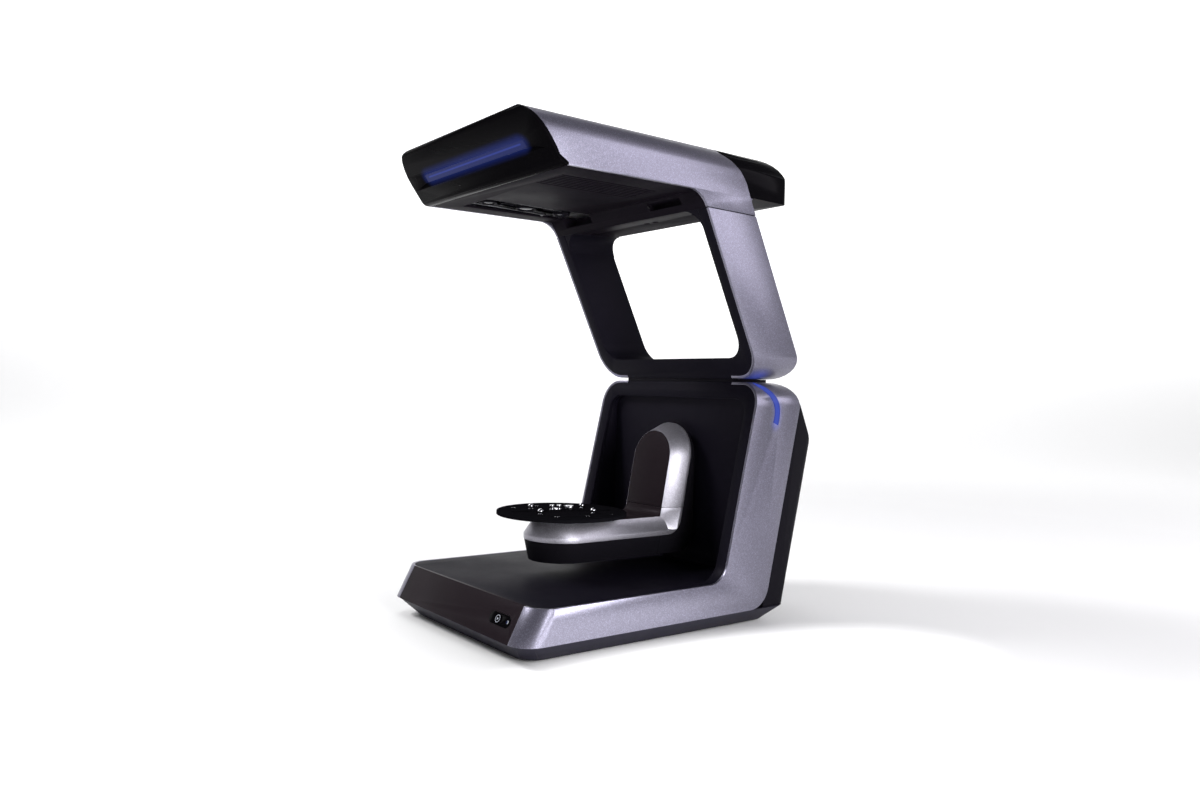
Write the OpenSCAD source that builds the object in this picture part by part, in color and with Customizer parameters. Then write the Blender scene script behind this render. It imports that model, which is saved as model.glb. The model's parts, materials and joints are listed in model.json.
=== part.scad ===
// Desktop 3D scanner: a base, a column that leans back below and forward above,
// a head over the platform, and a swing arm that carries a turntable.
// Millimetres. +X is the right side seen from the front, the front faces -Y, +Z is up.
// The origin is on the floor, under the middle of the whole machine.

/* [Overall] */
// Half of the machine's width
half_w = 111; // [108:0.5:114]
// Thickness of the moulded shells
wall = 2.5; // [2:0.1:3]
// Gap left between pieces that are fitted together
fit = 0.2; // [0.1:0.05:0.3]

/* [Base] */
// Front edge of the silver rim
base_front = -158; // [-162:1:-156]
// Height of the rim's lower edge above the floor
rim_z = 16.5; // [15:0.5:18]
// Height of the deck's top above the floor
deck_z = 44; // [42:0.5:46]
// How far the fascia leans back from the rim to the deck
fascia_lean = 14; // [10:1:16]
// Radius of the base's front corners
base_r = 19; // [16:1:22]
// Height of the rubber feet below the pan
foot_h = 1.5; // [1:0.5:2.5]
// How far the pan tapers in from the rim, on every side
pan_taper = 15; // [12:1:16]
// Thickness of the deck plate
deck_t = 2.5; // [2:0.1:3]

/* [Lower column] */
// Place of the lower column's front face at floor level
low_front = 38.5; // [37:0.5:40]
// Lean of the lower column, in mm back for each mm up
low_lean = 0.2245; // [0.20:0.005:0.24]
// Depth of the silver side band, front to back
band_d = 58; // [56:1:60]
// Depth of the dark rear cover behind the silver band
rear_d = 32; // [30:1:34]
// Height of the lower column's top
low_top = 218.5; // [216:0.5:219]
// Radius of the column's upper corners, seen from the front
low_corner_r = 22; // [16:1:26]
// Width of the bezel beside the recess
recess_side = 14; // [12:0.5:16]
// Height of the recess's top
recess_top = 203; // [200:1:205]
// Radius of the recess's upper corners
recess_r = 14; // [10:1:18]
// Place of the recess's flat back panel
panel_y = 91.5; // [90:0.5:93]
// Thickness of the front bezel
bezel_t = 4; // [3:0.5:5]

/* [Waist and window] */
// Open gap between the lower and the upper column
waist_gap = 3; // [2:0.5:5]
// Distance from the machine's side to the neck
neck_side = 36; // [31:1:41]
// Lean of the upper column, in mm forward for each mm up
up_lean = 0.497; // [0.48:0.005:0.51]
// Width of the frame beside the window
window_side = 13.5; // [12:0.5:16]
// Height of the window's lower edge
window_bottom = 240; // [238:1:244]
// Radius of the window's lower corners
window_r = 18; // [12:1:22]
// Distance from the head's underside down to its seam with the upper column
seam_drop = 10.7; // [9.3:0.2:12.3]

/* [Head] */
// Depth of the head, from the top at the rear to the underside's front edge
head_h = 45.7; // [45:0.1:46.5]
// Rise of the underside from its front edge to the column
head_rise = 2.7; // [2:0.1:3.2]
// Height of the head's top at the rear
head_top = 420; // [418:1:422]
// Place of the ridge across the head's front
ridge_y = -142; // [-143:0.5:-141]
// Place of the head's lower front edge
chin_y = -127; // [-128:0.5:-126]
// How far the front face leans out from the ridge to the top
head_overhang = 23; // [21:0.5:24]
// Place of the brow's rear end
brow_rear = 117; // [114:1:119]
// Radius along the head's upper side edges
head_edge_r = 24; // [18:1:28]
// How far the front cap reaches back from its face
cap_depth = 4; // [3.6:0.1:5]
// Radius of the brow's upper rear edge
brow_r = 36; // [30:1:37]
// How far the head's top falls from the brow to the front
head_fall = 3; // [2.5:0.5:4]

/* [Optics] */
// Middle of the optics slot, left of the centre line
slot_x = -66.5; // [-68:0.5:-65]
// Width of the optics slot
slot_w = 43; // [40:1:45]
// Front end of the optics slot
slot_front = -105; // [-107:1:-103]
// Number of air slots in the head's underside
vent_count = 8; // [5:1:9]
// Distance from one air slot to the next
vent_pitch = 5; // [4.5:0.1:5.2]
// Width of one air slot
vent_w = 2.4; // [1.5:0.1:3]
// Length of the air slots
vent_l = 96; // [80:1:100]

/* [Swing arm] */
// Height of the swing axis
swing_z = 145; // [144:0.5:146]
// Half of the arm's width at its silver rim
arm_half = 33.4; // [32:0.2:35]
// Half of the width of the arm's flat face
face_half = 25.8; // [24:0.2:28]
// Depth of the silver bevel beside the upright's flat face
bevel_d = 17; // [15:0.5:18]
// Depth of the silver bevel beside the flat face over the drive
foot_bevel = 11.9; // [10:0.1:13]
// Height of the flat face over the turntable drive
arm_top = 91.3; // [90.8:0.1:91.8]
// Height of the arm's underside
arm_low = 57; // [56:0.5:58]
// Place of the upright's flat face at the height of the arm's top
upright_y = 48; // [47:0.5:49]
// Lean of the upright's face, in mm back for each mm up
upright_lean = 0.18; // [0.16:0.01:0.20]
// Place of the upright's rear face
arm_rear = 83; // [81:0.5:83.5]
// Diameter of the swing shaft
swing_shaft_d = 16; // [12:1:18]

/* [Turntable] */
// Place of the turntable's axis
table_y = -46.7; // [-48:0.5:-45]
// Radius of the turntable disc
table_r = 58; // [54:1:60]
// Height of the disc's top
table_z = 99.2; // [98.8:0.1:100]
// Thickness of the disc
table_t = 3; // [2.8:0.1:4]
// Diameter of the turntable's spindle
spindle_d = 8; // [6:1:10]

/* [Button] */
// Distance from the machine's side to the middle of the button plate
button_inset = 42; // [37:1:51]
// Width of the button plate
button_w = 29; // [26:1:32]
// Height of the button plate along the fascia
button_h = 9.4; // [8.6:0.2:10]
// Travel of the button
button_travel = 0.8; // [0.4:0.1:1]

/* [Hidden] */
$fn = 48;

recess_half = half_w - recess_side;
neck_half = half_w - neck_side;
window_half = half_w - window_side;
button_x = half_w - button_inset;
head_low = head_top - head_h;
seam_z = head_low - seam_drop;
up_bottom = low_top + waist_gap;
// Radius of the upright corners at the rear
rear_r = 12;
// Height of the ridge above the head's underside
ridge_rise = 11.7;
// The chin's run from its rear edge and its radius, and the radius of the face's upper edge
chin_run = 6;
chin_r = 8;
lip_r = 3;
pan_rear = low_front + low_lean * rim_z + band_d + rear_d - 1;
waist_y = low_front + low_lean * low_top;
up_front_seam = waist_y - up_lean * (seam_z - up_bottom);
pan_z = foot_h;
fascia_angle = atan(fascia_lean / (deck_z - rim_z));
slot_rear = 2;
black = [0.16, 0.16, 0.18];
silver = [0.74, 0.72, 0.78];
gloss = [0.10, 0.10, 0.11];
taupe = [0.42, 0.39, 0.40];
steel = [0.62, 0.63, 0.65];
blue = [0.45, 0.58, 1.0];

// ---- outlines with round corners; a corner is [x, y, radius] ----

function flat(p) = [p.x, p.y];
function heading(a, b) = (b - a) / norm(b - a);
function left_of(d) = [-d.y, d.x];
function turned(v, a) = [v.x * cos(a) - v.y * sin(a), v.x * sin(a) + v.y * cos(a)];
function before(p, i) = flat(p[(i + len(p) - 1) % len(p)]);
function after(p, i) = flat(p[(i + 1) % len(p)]);

// The points of one rounded corner
function corner(p, i, steps) =
    let(b = flat(p[i]), u = heading(before(p, i), b), v = heading(b, after(p, i)))
    let(turn = atan2(cross(u, v), u * v), r = p[i][2])
    (r < 0.05 || abs(turn) < 1) ? [b] :
    let(start = b - u * r * tan(abs(turn) / 2), arm = -sign(turn) * r * left_of(u))
    [for (j = [0 : steps]) start - arm + turned(arm, turn * j / steps)];

function rounded(p, steps = 8) = [for (i = [0 : len(p) - 1]) each corner(p, i, steps)];

// The same outline drawn t inside the first; corners run anticlockwise
function inset(p, t) = [
    for (i = [0 : len(p) - 1])
        let(b = flat(p[i]), u = heading(before(p, i), b), v = heading(b, after(p, i)))
        let(nu = left_of(u), nv = left_of(v), q = b + t * (nu + nv) / (1 + nu * nv))
        [q.x, q.y, cross(u, v) > 0 ? max(p[i][2] - t, 0) : p[i][2] + t]
];

// A solid from an outline in (Y, Z), drawn across X
module across(outline, x0, x1) {
    translate([x0, 0, 0]) rotate([90, 0, 90]) linear_extrude(x1 - x0) polygon(outline);
}

// A solid from an outline in (X, Z), drawn along Y
module along(outline, y0, y1) {
    translate([0, y1, 0]) rotate([90, 0, 0]) linear_extrude(y1 - y0) polygon(outline);
}

// A box from its two far corners
module box(a, b) {
    translate(a) cube(b - a);
}

// A cylinder whose axis runs along Y
module rod_y(x, y, z, d, l) {
    translate([x, y, z]) rotate([-90, 0, 0]) cylinder(d = d, h = l);
}

// Keeps the right half, or the left half as its mirror image
module half(right) {
    if (right) children();
    else mirror([1, 0, 0]) children();
}

// ---- outer forms ----

function low_front_at(z) = low_front + low_lean * z;
function up_front_at(z) = waist_y - up_lean * (z - up_bottom);

// Side view of the silver band: base, then the column that leans back
low_side = [
    [base_front, rim_z, 2],
    [low_front_at(rim_z) + band_d, rim_z, 22],
    [low_front_at(low_top) + band_d, low_top, 20],
    [low_front_at(low_top), low_top, 1],
    [low_front_at(deck_z), deck_z, 20],
    [base_front + fascia_lean, deck_z, 0]
];

// Front view of the lower column and base
low_face = [
    [-half_w, rim_z, 0],
    [half_w, rim_z, 0],
    [half_w, low_top, low_corner_r],
    [-half_w, low_top, low_corner_r]
];

// Side view of the upper column
up_side = [
    [waist_y, up_bottom, 1],
    [waist_y + band_d, up_bottom, 15],
    [up_front_seam + band_d, seam_z, 0],
    [up_front_seam, seam_z, 0]
];

// Front view of the upper column
up_face = [
    [-half_w, up_bottom, 25],
    [half_w, up_bottom, 25],
    [half_w, seam_z, 0],
    [-half_w, seam_z, 0]
];

// Side view of the head, with the fillet that meets the column and the brow behind
under_rear = head_low + head_rise;
brow_low = under_rear + 1.5;
// The side view and the plan stand this far outside the front view, so that no faces coincide
crown = 0.3;
head_tilt = atan(head_fall / (brow_rear + 1 - ridge_y + head_overhang));
function head_side(low) = [
    [chin_y - chin_run, head_low, chin_r],
    [up_front_at(under_rear), under_rear, 23.5],
    [up_front_at(low), low, 0],
    [up_front_at(low) + band_d, low, 0],
    [up_front_at(brow_low) + band_d, brow_low, 3],
    [brow_rear, brow_low, 4],
    [brow_rear + 1, head_top + crown, brow_r],
    [ridge_y - head_overhang, head_top - head_fall + crown, lip_r],
    [ridge_y, head_low + ridge_rise, 2]
];

function head_face(low) = [
    [-half_w, low, 0],
    [half_w, low, 0],
    [half_w, head_top, head_edge_r],
    [-half_w, head_top, head_edge_r]
];

head_plan = [
    [-half_w - crown, ridge_y - head_overhang - 3, 0],
    [half_w + crown, ridge_y - head_overhang - 3, 0],
    [half_w + crown, brow_rear + 2, rear_r],
    [-half_w - crown, brow_rear + 2, rear_r]
];

// The head's form, t inside its outer faces and down to the height low
module head_form(t, low) {
    intersection() {
        across(rounded(inset(head_side(low), t)), -half_w - 2, half_w + 2);
        translate([0, brow_rear, head_top]) rotate([head_tilt, 0, 0])
            translate([0, -brow_rear, -head_top])
                along(rounded(inset(head_face(low), t)), ridge_y - 30, brow_rear + 10);
        translate([0, 0, low]) linear_extrude(head_top + 1 - low)
            polygon(rounded(inset(head_plan, t)));
    }
}

// A thin plate with round corners, for the base and the pan
module slab(z, h, half, front, rear, r, r_rear = 2) {
    translate([0, 0, z]) linear_extrude(h)
        polygon(rounded([[-half, front, r], [half, front, r],
                         [half, rear, r_rear], [-half, rear, r_rear]]));
}

// The base block between the rim and the deck
module base_form(t, rear) {
    hull() {
        slab(rim_z, 0.1, half_w - t, base_front + t, rear, base_r - t);
        slab(deck_z - 0.1, 0.1, half_w - t, base_front + fascia_lean + t, rear, base_r - t);
    }
}

// The pan's form, t inside its outer faces and down to the height z
module pan_form(t, z) {
    hull() {
        slab(rim_z - 0.1, 0.1, half_w - 1 - t, base_front + 1 + t, pan_rear - t,
             base_r - t, rear_r - t);
        slab(z, 0.1, half_w - pan_taper - 2 - t, base_front + pan_taper + 1 + t,
             pan_rear - pan_taper + 3 - t, base_r - 3 - t, rear_r - t);
    }
}

// Places a piece on the fascia: x along it, y up it, z out of it
module on_fascia(x) {
    up = (deck_z - rim_z) / 2;
    translate([x, base_front + fascia_lean / 2, rim_z + up]) rotate([90 - fascia_angle, 0, 0])
        children();
}

// Places a piece on the head's front face: x along it, y up it, z out of it
module on_head_front() {
    face_rise = head_top - head_fall - head_low - ridge_rise;
    translate([0, ridge_y, head_low + ridge_rise]) rotate([90 + atan(head_overhang / face_rise), 0, 0])
        children();
}

// A flat pill: two round ends joined by a bar
module pill(w, h, t) {
    linear_extrude(t)
        polygon(rounded([[-w / 2, -h / 2, h / 2 - 0.01], [w / 2, -h / 2, h / 2 - 0.01],
                         [w / 2, h / 2, h / 2 - 0.01], [-w / 2, h / 2, h / 2 - 0.01]]));
}

// ---- base ----

foot_x = half_w - 37;
foot_front = -118;
foot_rear = 92;
foot_d = 14;
foot_seat = 1;
boss_d = 9;
boss_x = half_w - 41;
boss_front = -104;
boss_rear = 78;
chassis_z = 19;
chassis_t = 2;
chassis_rear = 116;
// How far the chassis reaches past its screws
chassis_side = 22;
chassis_end = 24;

module bottom_pan() {
    color(black) {
        difference() {
            pan_form(0, pan_z);
            pan_form(wall, pan_z + wall);
            translate([0, 0, rim_z - 0.2]) box([-half_w, base_front, 0], [half_w, pan_rear, 0.3]);
            for (x = [-foot_x, foot_x], y = [foot_front, foot_rear])
                translate([x, y, pan_z - foot_seat])
                    cylinder(d = foot_d + 2 * fit, h = 2 * foot_seat);
        }
        for (x = [-boss_x, boss_x], y = [boss_front, boss_rear])
            translate([x, y, pan_z + wall]) cylinder(d = boss_d, h = chassis_z - pan_z - wall);
    }
}

module rubber_feet() {
    color([0.2, 0.2, 0.2])
        for (x = [-foot_x, foot_x], y = [foot_front, foot_rear])
            translate([x, y, 0]) cylinder(d = foot_d, h = pan_z + foot_seat);
}

module base_chassis() {
    color(steel) box([-boss_x - chassis_side, boss_front - chassis_end, chassis_z],
                     [boss_x + chassis_side, chassis_rear, chassis_z + chassis_t]);
}

// Place of the bezel's foot, where the deck's wide part ends
bezel_foot_y = low_front - 12;

module deck_plate() {
    color(black) intersection() {
        base_form(wall + fit, panel_y);
        union() {
            box([-half_w, base_front, deck_z - deck_t], [half_w, bezel_foot_y, deck_z]);
            box([-recess_half, 0, deck_z - deck_t], [recess_half, panel_y, deck_z]);
        }
    }
}

// Where the fascia ends and the silver corner begins
fascia_half = half_w - base_r - 1;

module front_fascia() {
    color(taupe) difference() {
        intersection() {
            difference() {
                base_form(0, 100);
                base_form(wall, 100);
            }
            box([-fascia_half, base_front - 1, rim_z],
                [fascia_half, base_front + fascia_lean + wall, deck_z]);
        }
        on_fascia(button_x) translate([0, 0, -20]) pill(button_w + 2 * fit, button_h + 2 * fit, 40);
    }
}

button_d = 7;
button_gap = 0.3;
// How far the button's middle lies left of the plate's
button_shift = 2;
plate_proud = 0.3;
lamp_d = 2.6;
lamp_x = 10.8;
// Thickness of the flange that holds the button in, and how far it stands out
flange_t = 1.2;
flange_reach = 0.8;
// Depth of the button behind the plate
button_depth = wall + 1.5;

module button_plate() {
    color(gloss) on_fascia(button_x) difference() {
        translate([0, 0, -wall]) pill(button_w, button_h, wall + plate_proud);
        translate([-button_shift, 0, -5]) cylinder(d = button_d + 2 * button_gap, h = 10);
        translate([lamp_x, 0, -5]) cylinder(d = lamp_d + 2 * fit, h = 10);
    }
}

module start_button() {
    color(gloss) on_fascia(button_x - button_shift) translate([0, 0, -button_depth]) {
        cylinder(d = button_d, h = button_depth + fit + button_travel);
        cylinder(d = button_d + 2 * flange_reach, h = flange_t);
    }
}

module button_light() {
    color([0.9, 0.95, 1]) on_fascia(button_x + lamp_x)
        translate([0, 0, -wall]) cylinder(d = lamp_d, h = wall + plate_proud + 0.1);
}

// The switch stands behind the button, clear of it by the button's travel
switch_gap = button_travel + 0.3;
switch_w = 6;
switch_h = 4;
switch_z = button_depth + switch_gap + switch_h;
lamp_foot = 4;
board_t = 1.6;

module button_switch() {
    color([0.15, 0.35, 0.2]) on_fascia(button_x) {
        translate([-12, -4, -switch_z - board_t]) cube([24, 8, board_t]);
        translate([-button_shift - switch_w / 2, -switch_w / 2, -switch_z])
            cube([switch_w, switch_w, switch_h]);
    }
    color(steel) on_fascia(button_x) translate([lamp_x - lamp_foot / 2, -lamp_foot / 2, -switch_z])
        cube([lamp_foot, lamp_foot, switch_z - wall]);
}

// ---- lower column ----

// The bezel's side view: a fillet from the deck, then the leaning front face
bezel_path = [[bezel_foot_y, deck_z], [low_front_at(deck_z), deck_z],
              [low_front_at(low_top), low_top]];
bezel_side = concat(
    [bezel_path[0]],
    corner([for (p = bezel_path) [p.x, p.y, 20]], 1, 8),
    [bezel_path[2]],
    [bezel_path[2] + [bezel_t, 0]],
    [[low_front_at(deck_z - deck_t) + bezel_t, deck_z - deck_t]],
    [bezel_path[0] - [0, deck_t]]
);

recess_face = [
    [-recess_half, rim_z, 0],
    [recess_half, rim_z, 0],
    [recess_half, recess_top, recess_r],
    [-recess_half, recess_top, recess_r]
];

module low_side_band(t) {
    difference() {
        polygon(rounded(low_face));
        polygon(rounded(inset(low_face, t)));
        translate([-neck_half, rim_z]) square([2 * neck_half, low_top]);
        translate([-half_w, 0]) square([half_w, low_top + 1]);
        translate([0, rim_z]) square([half_w - t, deck_z]);
    }
}

module side_shell(right) {
    color(silver) half(right) difference() {
        union() {
            intersection() {
                across(rounded(low_side), 0, half_w);
                translate([0, 200, 0]) rotate([90, 0, 0]) linear_extrude(330) low_side_band(wall);
            }
            intersection() {
                difference() {
                    base_form(0, -120);
                    base_form(wall, -110);
                }
                box([fascia_half + fit, base_front - 1, rim_z], [half_w, -125, deck_z]);
            }
        }
        side_light_form(fit);
    }
}

module side_shell_left() {
    side_shell(false);
}

module side_shell_right() {
    side_shell(true);
}

// The light strip bends round the silver band's upper rear corner
strip_y = 83;
strip_z = 191.5;
strip_r = 27;
strip_w = 7;
strip_t = 1.6;
strip_start = -22;
strip_end = 83;
strip_step = 7;

module side_light_form(extra) {
    translate([half_w - strip_t - extra, strip_y, strip_z]) rotate([90, 0, 90]) linear_extrude(10)
        polygon(concat(
            [for (a = [strip_start : strip_step : strip_end])
                (strip_r + strip_w / 2 + extra) * [cos(a), sin(a)]],
            [for (a = [strip_end : -strip_step : strip_start])
                (strip_r - strip_w / 2 - extra) * [cos(a), sin(a)]]));
}

module side_light(right) {
    color(blue) half(right) intersection() {
        side_light_form(0);
        translate([0, strip_y, strip_z])
            box([half_w - strip_t, -2 * strip_r, -2 * strip_r], [half_w, 2 * strip_r, 2 * strip_r]);
        along(rounded(low_face), 0, 200);
        box([0, 0, 0], [half_w, 200, low_top - 1]);
    }
}

module side_light_left() {
    side_light(false);
}

module side_light_right() {
    side_light(true);
}

module column_bezel() {
    color(black) difference() {
        intersection() {
            across(bezel_side, -half_w, half_w);
            union() {
                along(rounded(inset(low_face, wall + fit / 2)), 0, 120);
                along([[-neck_half + fit, rim_z], [neck_half - fit, rim_z],
                       [neck_half - fit, low_top], [-neck_half + fit, low_top]], 0, 120);
            }
        }
        along(rounded(recess_face), 0, 120);
    }
}

// The tunnel between the bezel and the back panel
module recess_liner() {
    color(black) intersection() {
        difference() {
            along(rounded(inset(recess_face, -wall)), low_front, panel_y);
            along(rounded(recess_face), 0, 120);
            box([-half_w, 0, 0], [half_w, 200, deck_z - deck_t]);
        }
        across([[low_front_at(rim_z) + bezel_t + 0.05, rim_z],
                [panel_y, rim_z],
                [panel_y, low_top],
                [low_front_at(low_top) + bezel_t + 0.05, low_top]],
               -half_w, half_w);
    }
}

panel_t = 2.5;
bearing_d = 39;

module back_panel() {
    color(black) difference() {
        box([-recess_half - wall, panel_y, chassis_z + chassis_t],
            [recess_half + wall, panel_y + panel_t, recess_top + wall]);
        rod_y(0, panel_y - 1, swing_z, bearing_d + 1, panel_t + 2);
    }
}

// Side view of the rear cover, from the silver band's rear edge outwards
cover_top = low_top - 18;
rear_peak = 157;
rear_side = [
    [low_front_at(rim_z) + band_d - 18, rim_z, 0],
    [low_front_at(rim_z) + band_d + rear_d, rim_z, 3],
    [low_front_at(rear_peak) + band_d + rear_d, rear_peak, 34],
    [low_front_at(cover_top) + band_d + 2, cover_top, 3],
    [low_front_at(cover_top) + band_d - 18, cover_top, 0]
];

module rear_form(t) {
    intersection() {
        across(rounded(inset(rear_side, t)), -half_w, half_w);
        hull() {
            for (z = [rim_z + 1, cover_top]) {
                y = low_front_at(z) + band_d + rear_d;
                slab_rear(z, half_w - wall - fit - t, y - t, rear_r - t);
            }
        }
    }
}

module slab_rear(z, half, rear, r) {
    translate([0, 0, z - 1]) linear_extrude(1)
        polygon(rounded([[-half, 40, 0], [half, 40, 0], [half, rear, r], [-half, rear, r]]));
}

io_x = -40;
io_half = 36;
io_low = 24;
io_high = 50;
io_y = 121;

module rear_cover() {
    color(black) difference() {
        rear_form(0);
        intersection() {
            rear_form(wall);
            box([-half_w, 0, rim_z + wall], [half_w, 300, cover_top]);
        }
        // open towards the column
        across(rounded(inset(low_side, -fit)), -half_w, half_w);
        across([[0, rim_z - 1], [low_front_at(rim_z) + band_d + fit, rim_z - 1],
                [low_front_at(cover_top) + band_d + fit, cover_top + 1], [0, cover_top + 1]],
               -half_w, half_w);
        box([io_x - io_half, 100, io_low], [io_x + io_half, 200, io_high]);
    }
}

frame_y = 97;
frame_d = 15;
frame_half = recess_half - 13;
post_w = 20;
post_top = recess_top + 5;
frame_t = 3;

module column_frame() {
    color(steel) {
        for (x = [-frame_half, frame_half - post_w])
            box([x, frame_y, chassis_z + chassis_t], [x + post_w, frame_y + frame_d, post_top]);
        box([-frame_half, frame_y, post_top], [frame_half, frame_y + frame_d, post_top + frame_t]);
    }
}

// The top between the silver sides, bent down behind to the rear cover
module column_top_cap() {
    color(black) difference() {
        intersection() {
            across(rounded(low_side), -neck_half + fit, neck_half - fit);
            box([-half_w, low_front_at(low_top) + bezel_t + 0.1, cover_top - 4],
                [half_w, 200, low_top]);
        }
        across(rounded(inset(low_side, wall)), -half_w, half_w);
        neck_spigot(fit, low_top - 10, low_top + 1);
    }
}

spigot_half = neck_half - 20;
spigot_d = 26;
spigot_h = 14;
neck_d = 46;

module neck_spigot(extra, z0, z1) {
    box([-spigot_half - extra, frame_y - extra, z0],
        [spigot_half + extra, frame_y + spigot_d + extra, z1]);
}

module neck_block() {
    color(black) {
        box([-neck_half, waist_y, low_top], [neck_half, waist_y + neck_d, up_bottom]);
        neck_spigot(0, post_top + frame_t, up_bottom + spigot_h);
    }
}

// ---- upper column ----

module up_black() {
    difference() {
        union() {
            polygon(rounded(inset(up_face, wall)));
            translate([-neck_half, up_bottom]) square([2 * neck_half, 8]);
            translate([-half_w + wall, seam_z - 10]) square([2 * (half_w - wall), 10]);
        }
        polygon(rounded([[-window_half, window_bottom, window_r],
                         [window_half, window_bottom, window_r],
                         [window_half, seam_z + 1, 0],
                         [-window_half, seam_z + 1, 0]]));
    }
}

module upper_frame() {
    color(black) difference() {
        intersection() {
            across(rounded(up_side), -half_w, half_w);
            translate([0, 160, 0]) rotate([90, 0, 0]) linear_extrude(160) up_black();
        }
        neck_spigot(fit, up_bottom - 1, up_bottom + spigot_h + fit);
    }
}

module upper_shell(right) {
    color(silver) half(right) intersection() {
        across(rounded(up_side), 0, half_w);
        translate([0, 160, 0]) rotate([90, 0, 0]) linear_extrude(160) difference() {
            polygon(rounded(up_face));
            polygon(rounded(inset(up_face, wall)));
            translate([-half_w, seam_z - 10]) square([2 * half_w - wall, 11]);
            translate([-neck_half, up_bottom - 1]) square([2 * neck_half, 10]);
            translate([-half_w, 0]) square([half_w, seam_z + 1]);
        }
    }
}

module upper_shell_left() {
    upper_shell(false);
}

module upper_shell_right() {
    upper_shell(true);
}

// ---- head ----

beam_front = 8.5;
beam_screws = [-88, -72, 10, 22, 74];
beam_screw_y = 36;
vent_x = half_w - 49;
vent_front = -111;
beam_top = head_low + 5.7;
ridge_z = head_low + ridge_rise;
// The front face's lean, in mm forward for each mm up
face_lean = head_overhang / (head_top - head_fall - ridge_z);
cap_line = [
    [-230, seam_z],
    [chin_y, seam_z],
    [chin_y, head_low + 2],
    [ridge_y + cap_depth + 3, ridge_z - 5],
    [ridge_y + cap_depth, ridge_z],
    [ridge_y + cap_depth - face_lean * (head_top + 5 - ridge_z), head_top + 5],
    [-230, head_top + 5]
];
brow_line = [[36, head_top + 5], [36, head_top - 7], [46, head_top - 12.5], [55, head_top - 20.5],
             [62, head_top - 29.5], [up_front_at(brow_low) + band_d, brow_low],
             [up_front_at(brow_low) + band_d, brow_low - 0.5], [130, brow_low - 0.5],
             [130, head_top + 5]];

module head_skin() {
    difference() {
        head_form(0, seam_z);
        head_form(wall, seam_z - 10);
    }
}

module beam_cover() {
    color(black) difference() {
        intersection() {
            across(rounded(head_side(seam_z)), -half_w + wall + fit, half_w - wall - fit);
            box([-half_w, beam_front, seam_z], [half_w, 120, beam_top]);
            across([[beam_front, seam_z + 20], [beam_front, under_rear],
                    [up_front_seam - 0.2, seam_z],
                    [up_front_seam + band_d - wall, seam_z],
                    [up_front_at(beam_top) + band_d - wall, beam_top + 1]],
                   -half_w, half_w);
        }
        // the underside over the window rises towards the rear
        across([[up_front_seam, seam_z - 1], [up_front_seam + 1, seam_z],
                [up_front_seam + band_d, seam_z + 3], [up_front_seam + band_d, seam_z - 1]],
               -window_half, window_half);
        // cable slot in the front, and the screw holes from below
        box([vent_x - 22, 0, under_rear - 8], [vent_x + 20, beam_front + 14, under_rear - 2]);
        box([slot_x - slot_w / 2, 0, seam_z + 6], [slot_x + slot_w / 2, beam_front + 16, beam_top + 1]);
        for (x = beam_screws) translate([x, beam_screw_y, seam_z - 1]) cylinder(d = 6, h = 7);
    }
}

head_inner = half_w - 15;
head_plate_t = 2;

module head_chassis() {
    color(steel) difference() {
        box([-head_inner, vent_front - 1, beam_top], [head_inner, 60, beam_top + head_plate_t]);
        box([slot_x - slot_w / 2 - 1, slot_front - 2, beam_top - 1],
            [slot_x + slot_w / 2 + 1, slot_rear + 4, beam_top + 5]);
        box([vent_x - 24, vent_front + 4, beam_top - 1],
            [vent_x + 24, vent_front + vent_l + 3, beam_top + 5]);
    }
}

module head_shell() {
    color(silver) difference() {
        head_skin();
        across(cap_line, -half_w - 1, half_w + 1);
        across(brow_line, -half_w - 1, half_w + 1);
        // the underside and the front of the beam are separate covers
        box([-half_w + wall + fit / 2, -200, seam_z - 1],
            [half_w - wall - fit / 2, 200, brow_low + wall + 2]);
    }
}

module head_front_cap() {
    color(gloss) difference() {
        intersection() {
            head_skin();
            across(cap_line, -half_w - 1, half_w + 1);
        }
        on_head_front() translate([-bar_half - fit, bar_low - fit, -10])
            cube([2 * (bar_half + fit), bar_h + 2 * fit, 20]);
    }
}

bar_half = 80;
bar_low = 4;
bar_h = 7;

module light_bar() {
    color(blue) intersection() {
        on_head_front() translate([-bar_half, bar_low, -wall])
            cube([2 * bar_half, bar_h, wall - 0.3]);
        head_form(0.2, seam_z);
    }
}

module light_bar_board() {
    color([0.15, 0.35, 0.2]) on_head_front() translate([-bar_half - 3, bar_low - 1, -wall - board_t - 0.1])
        cube([2 * bar_half + 6, bar_h + 2, board_t]);
}

under_slope = atan(head_rise / (up_front_at(under_rear) - chin_y));

module head_bottom_cover() {
    inner = half_w - wall - fit;
    color(black) difference() {
        intersection() {
            head_form(0, seam_z);
            across([[chin_y + 0.1, head_low], [beam_front - 0.1, head_low + head_rise],
                    [beam_front - 0.1, head_low + head_rise + wall],
                    [chin_y + 0.1, head_low + wall]], -inner, inner);
        }
        box([slot_x - slot_w / 2, slot_front, head_low - 5],
            [slot_x + slot_w / 2, beam_front + 5, head_low + 12]);
        for (i = [0 : vent_count - 1])
            translate([vent_x + (i - (vent_count - 1) / 2) * vent_pitch - vent_w / 2,
                       vent_front, head_low - 5])
                cube([vent_w, vent_l, 20]);
    }
}

module rear_brow() {
    color(gloss) intersection() {
        head_skin();
        across(brow_line, -half_w - 1, half_w + 1);
        box([-half_w, 0, brow_low - 1], [half_w, 200, head_top + 1]);
    }
}

// ---- optics, in the head over the slot ----

rail_z = head_low + 23.7;
rail_t = 4;
rail_half = 8;
// How far the rail reaches past the optics slot
rail_past = 6;

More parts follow.
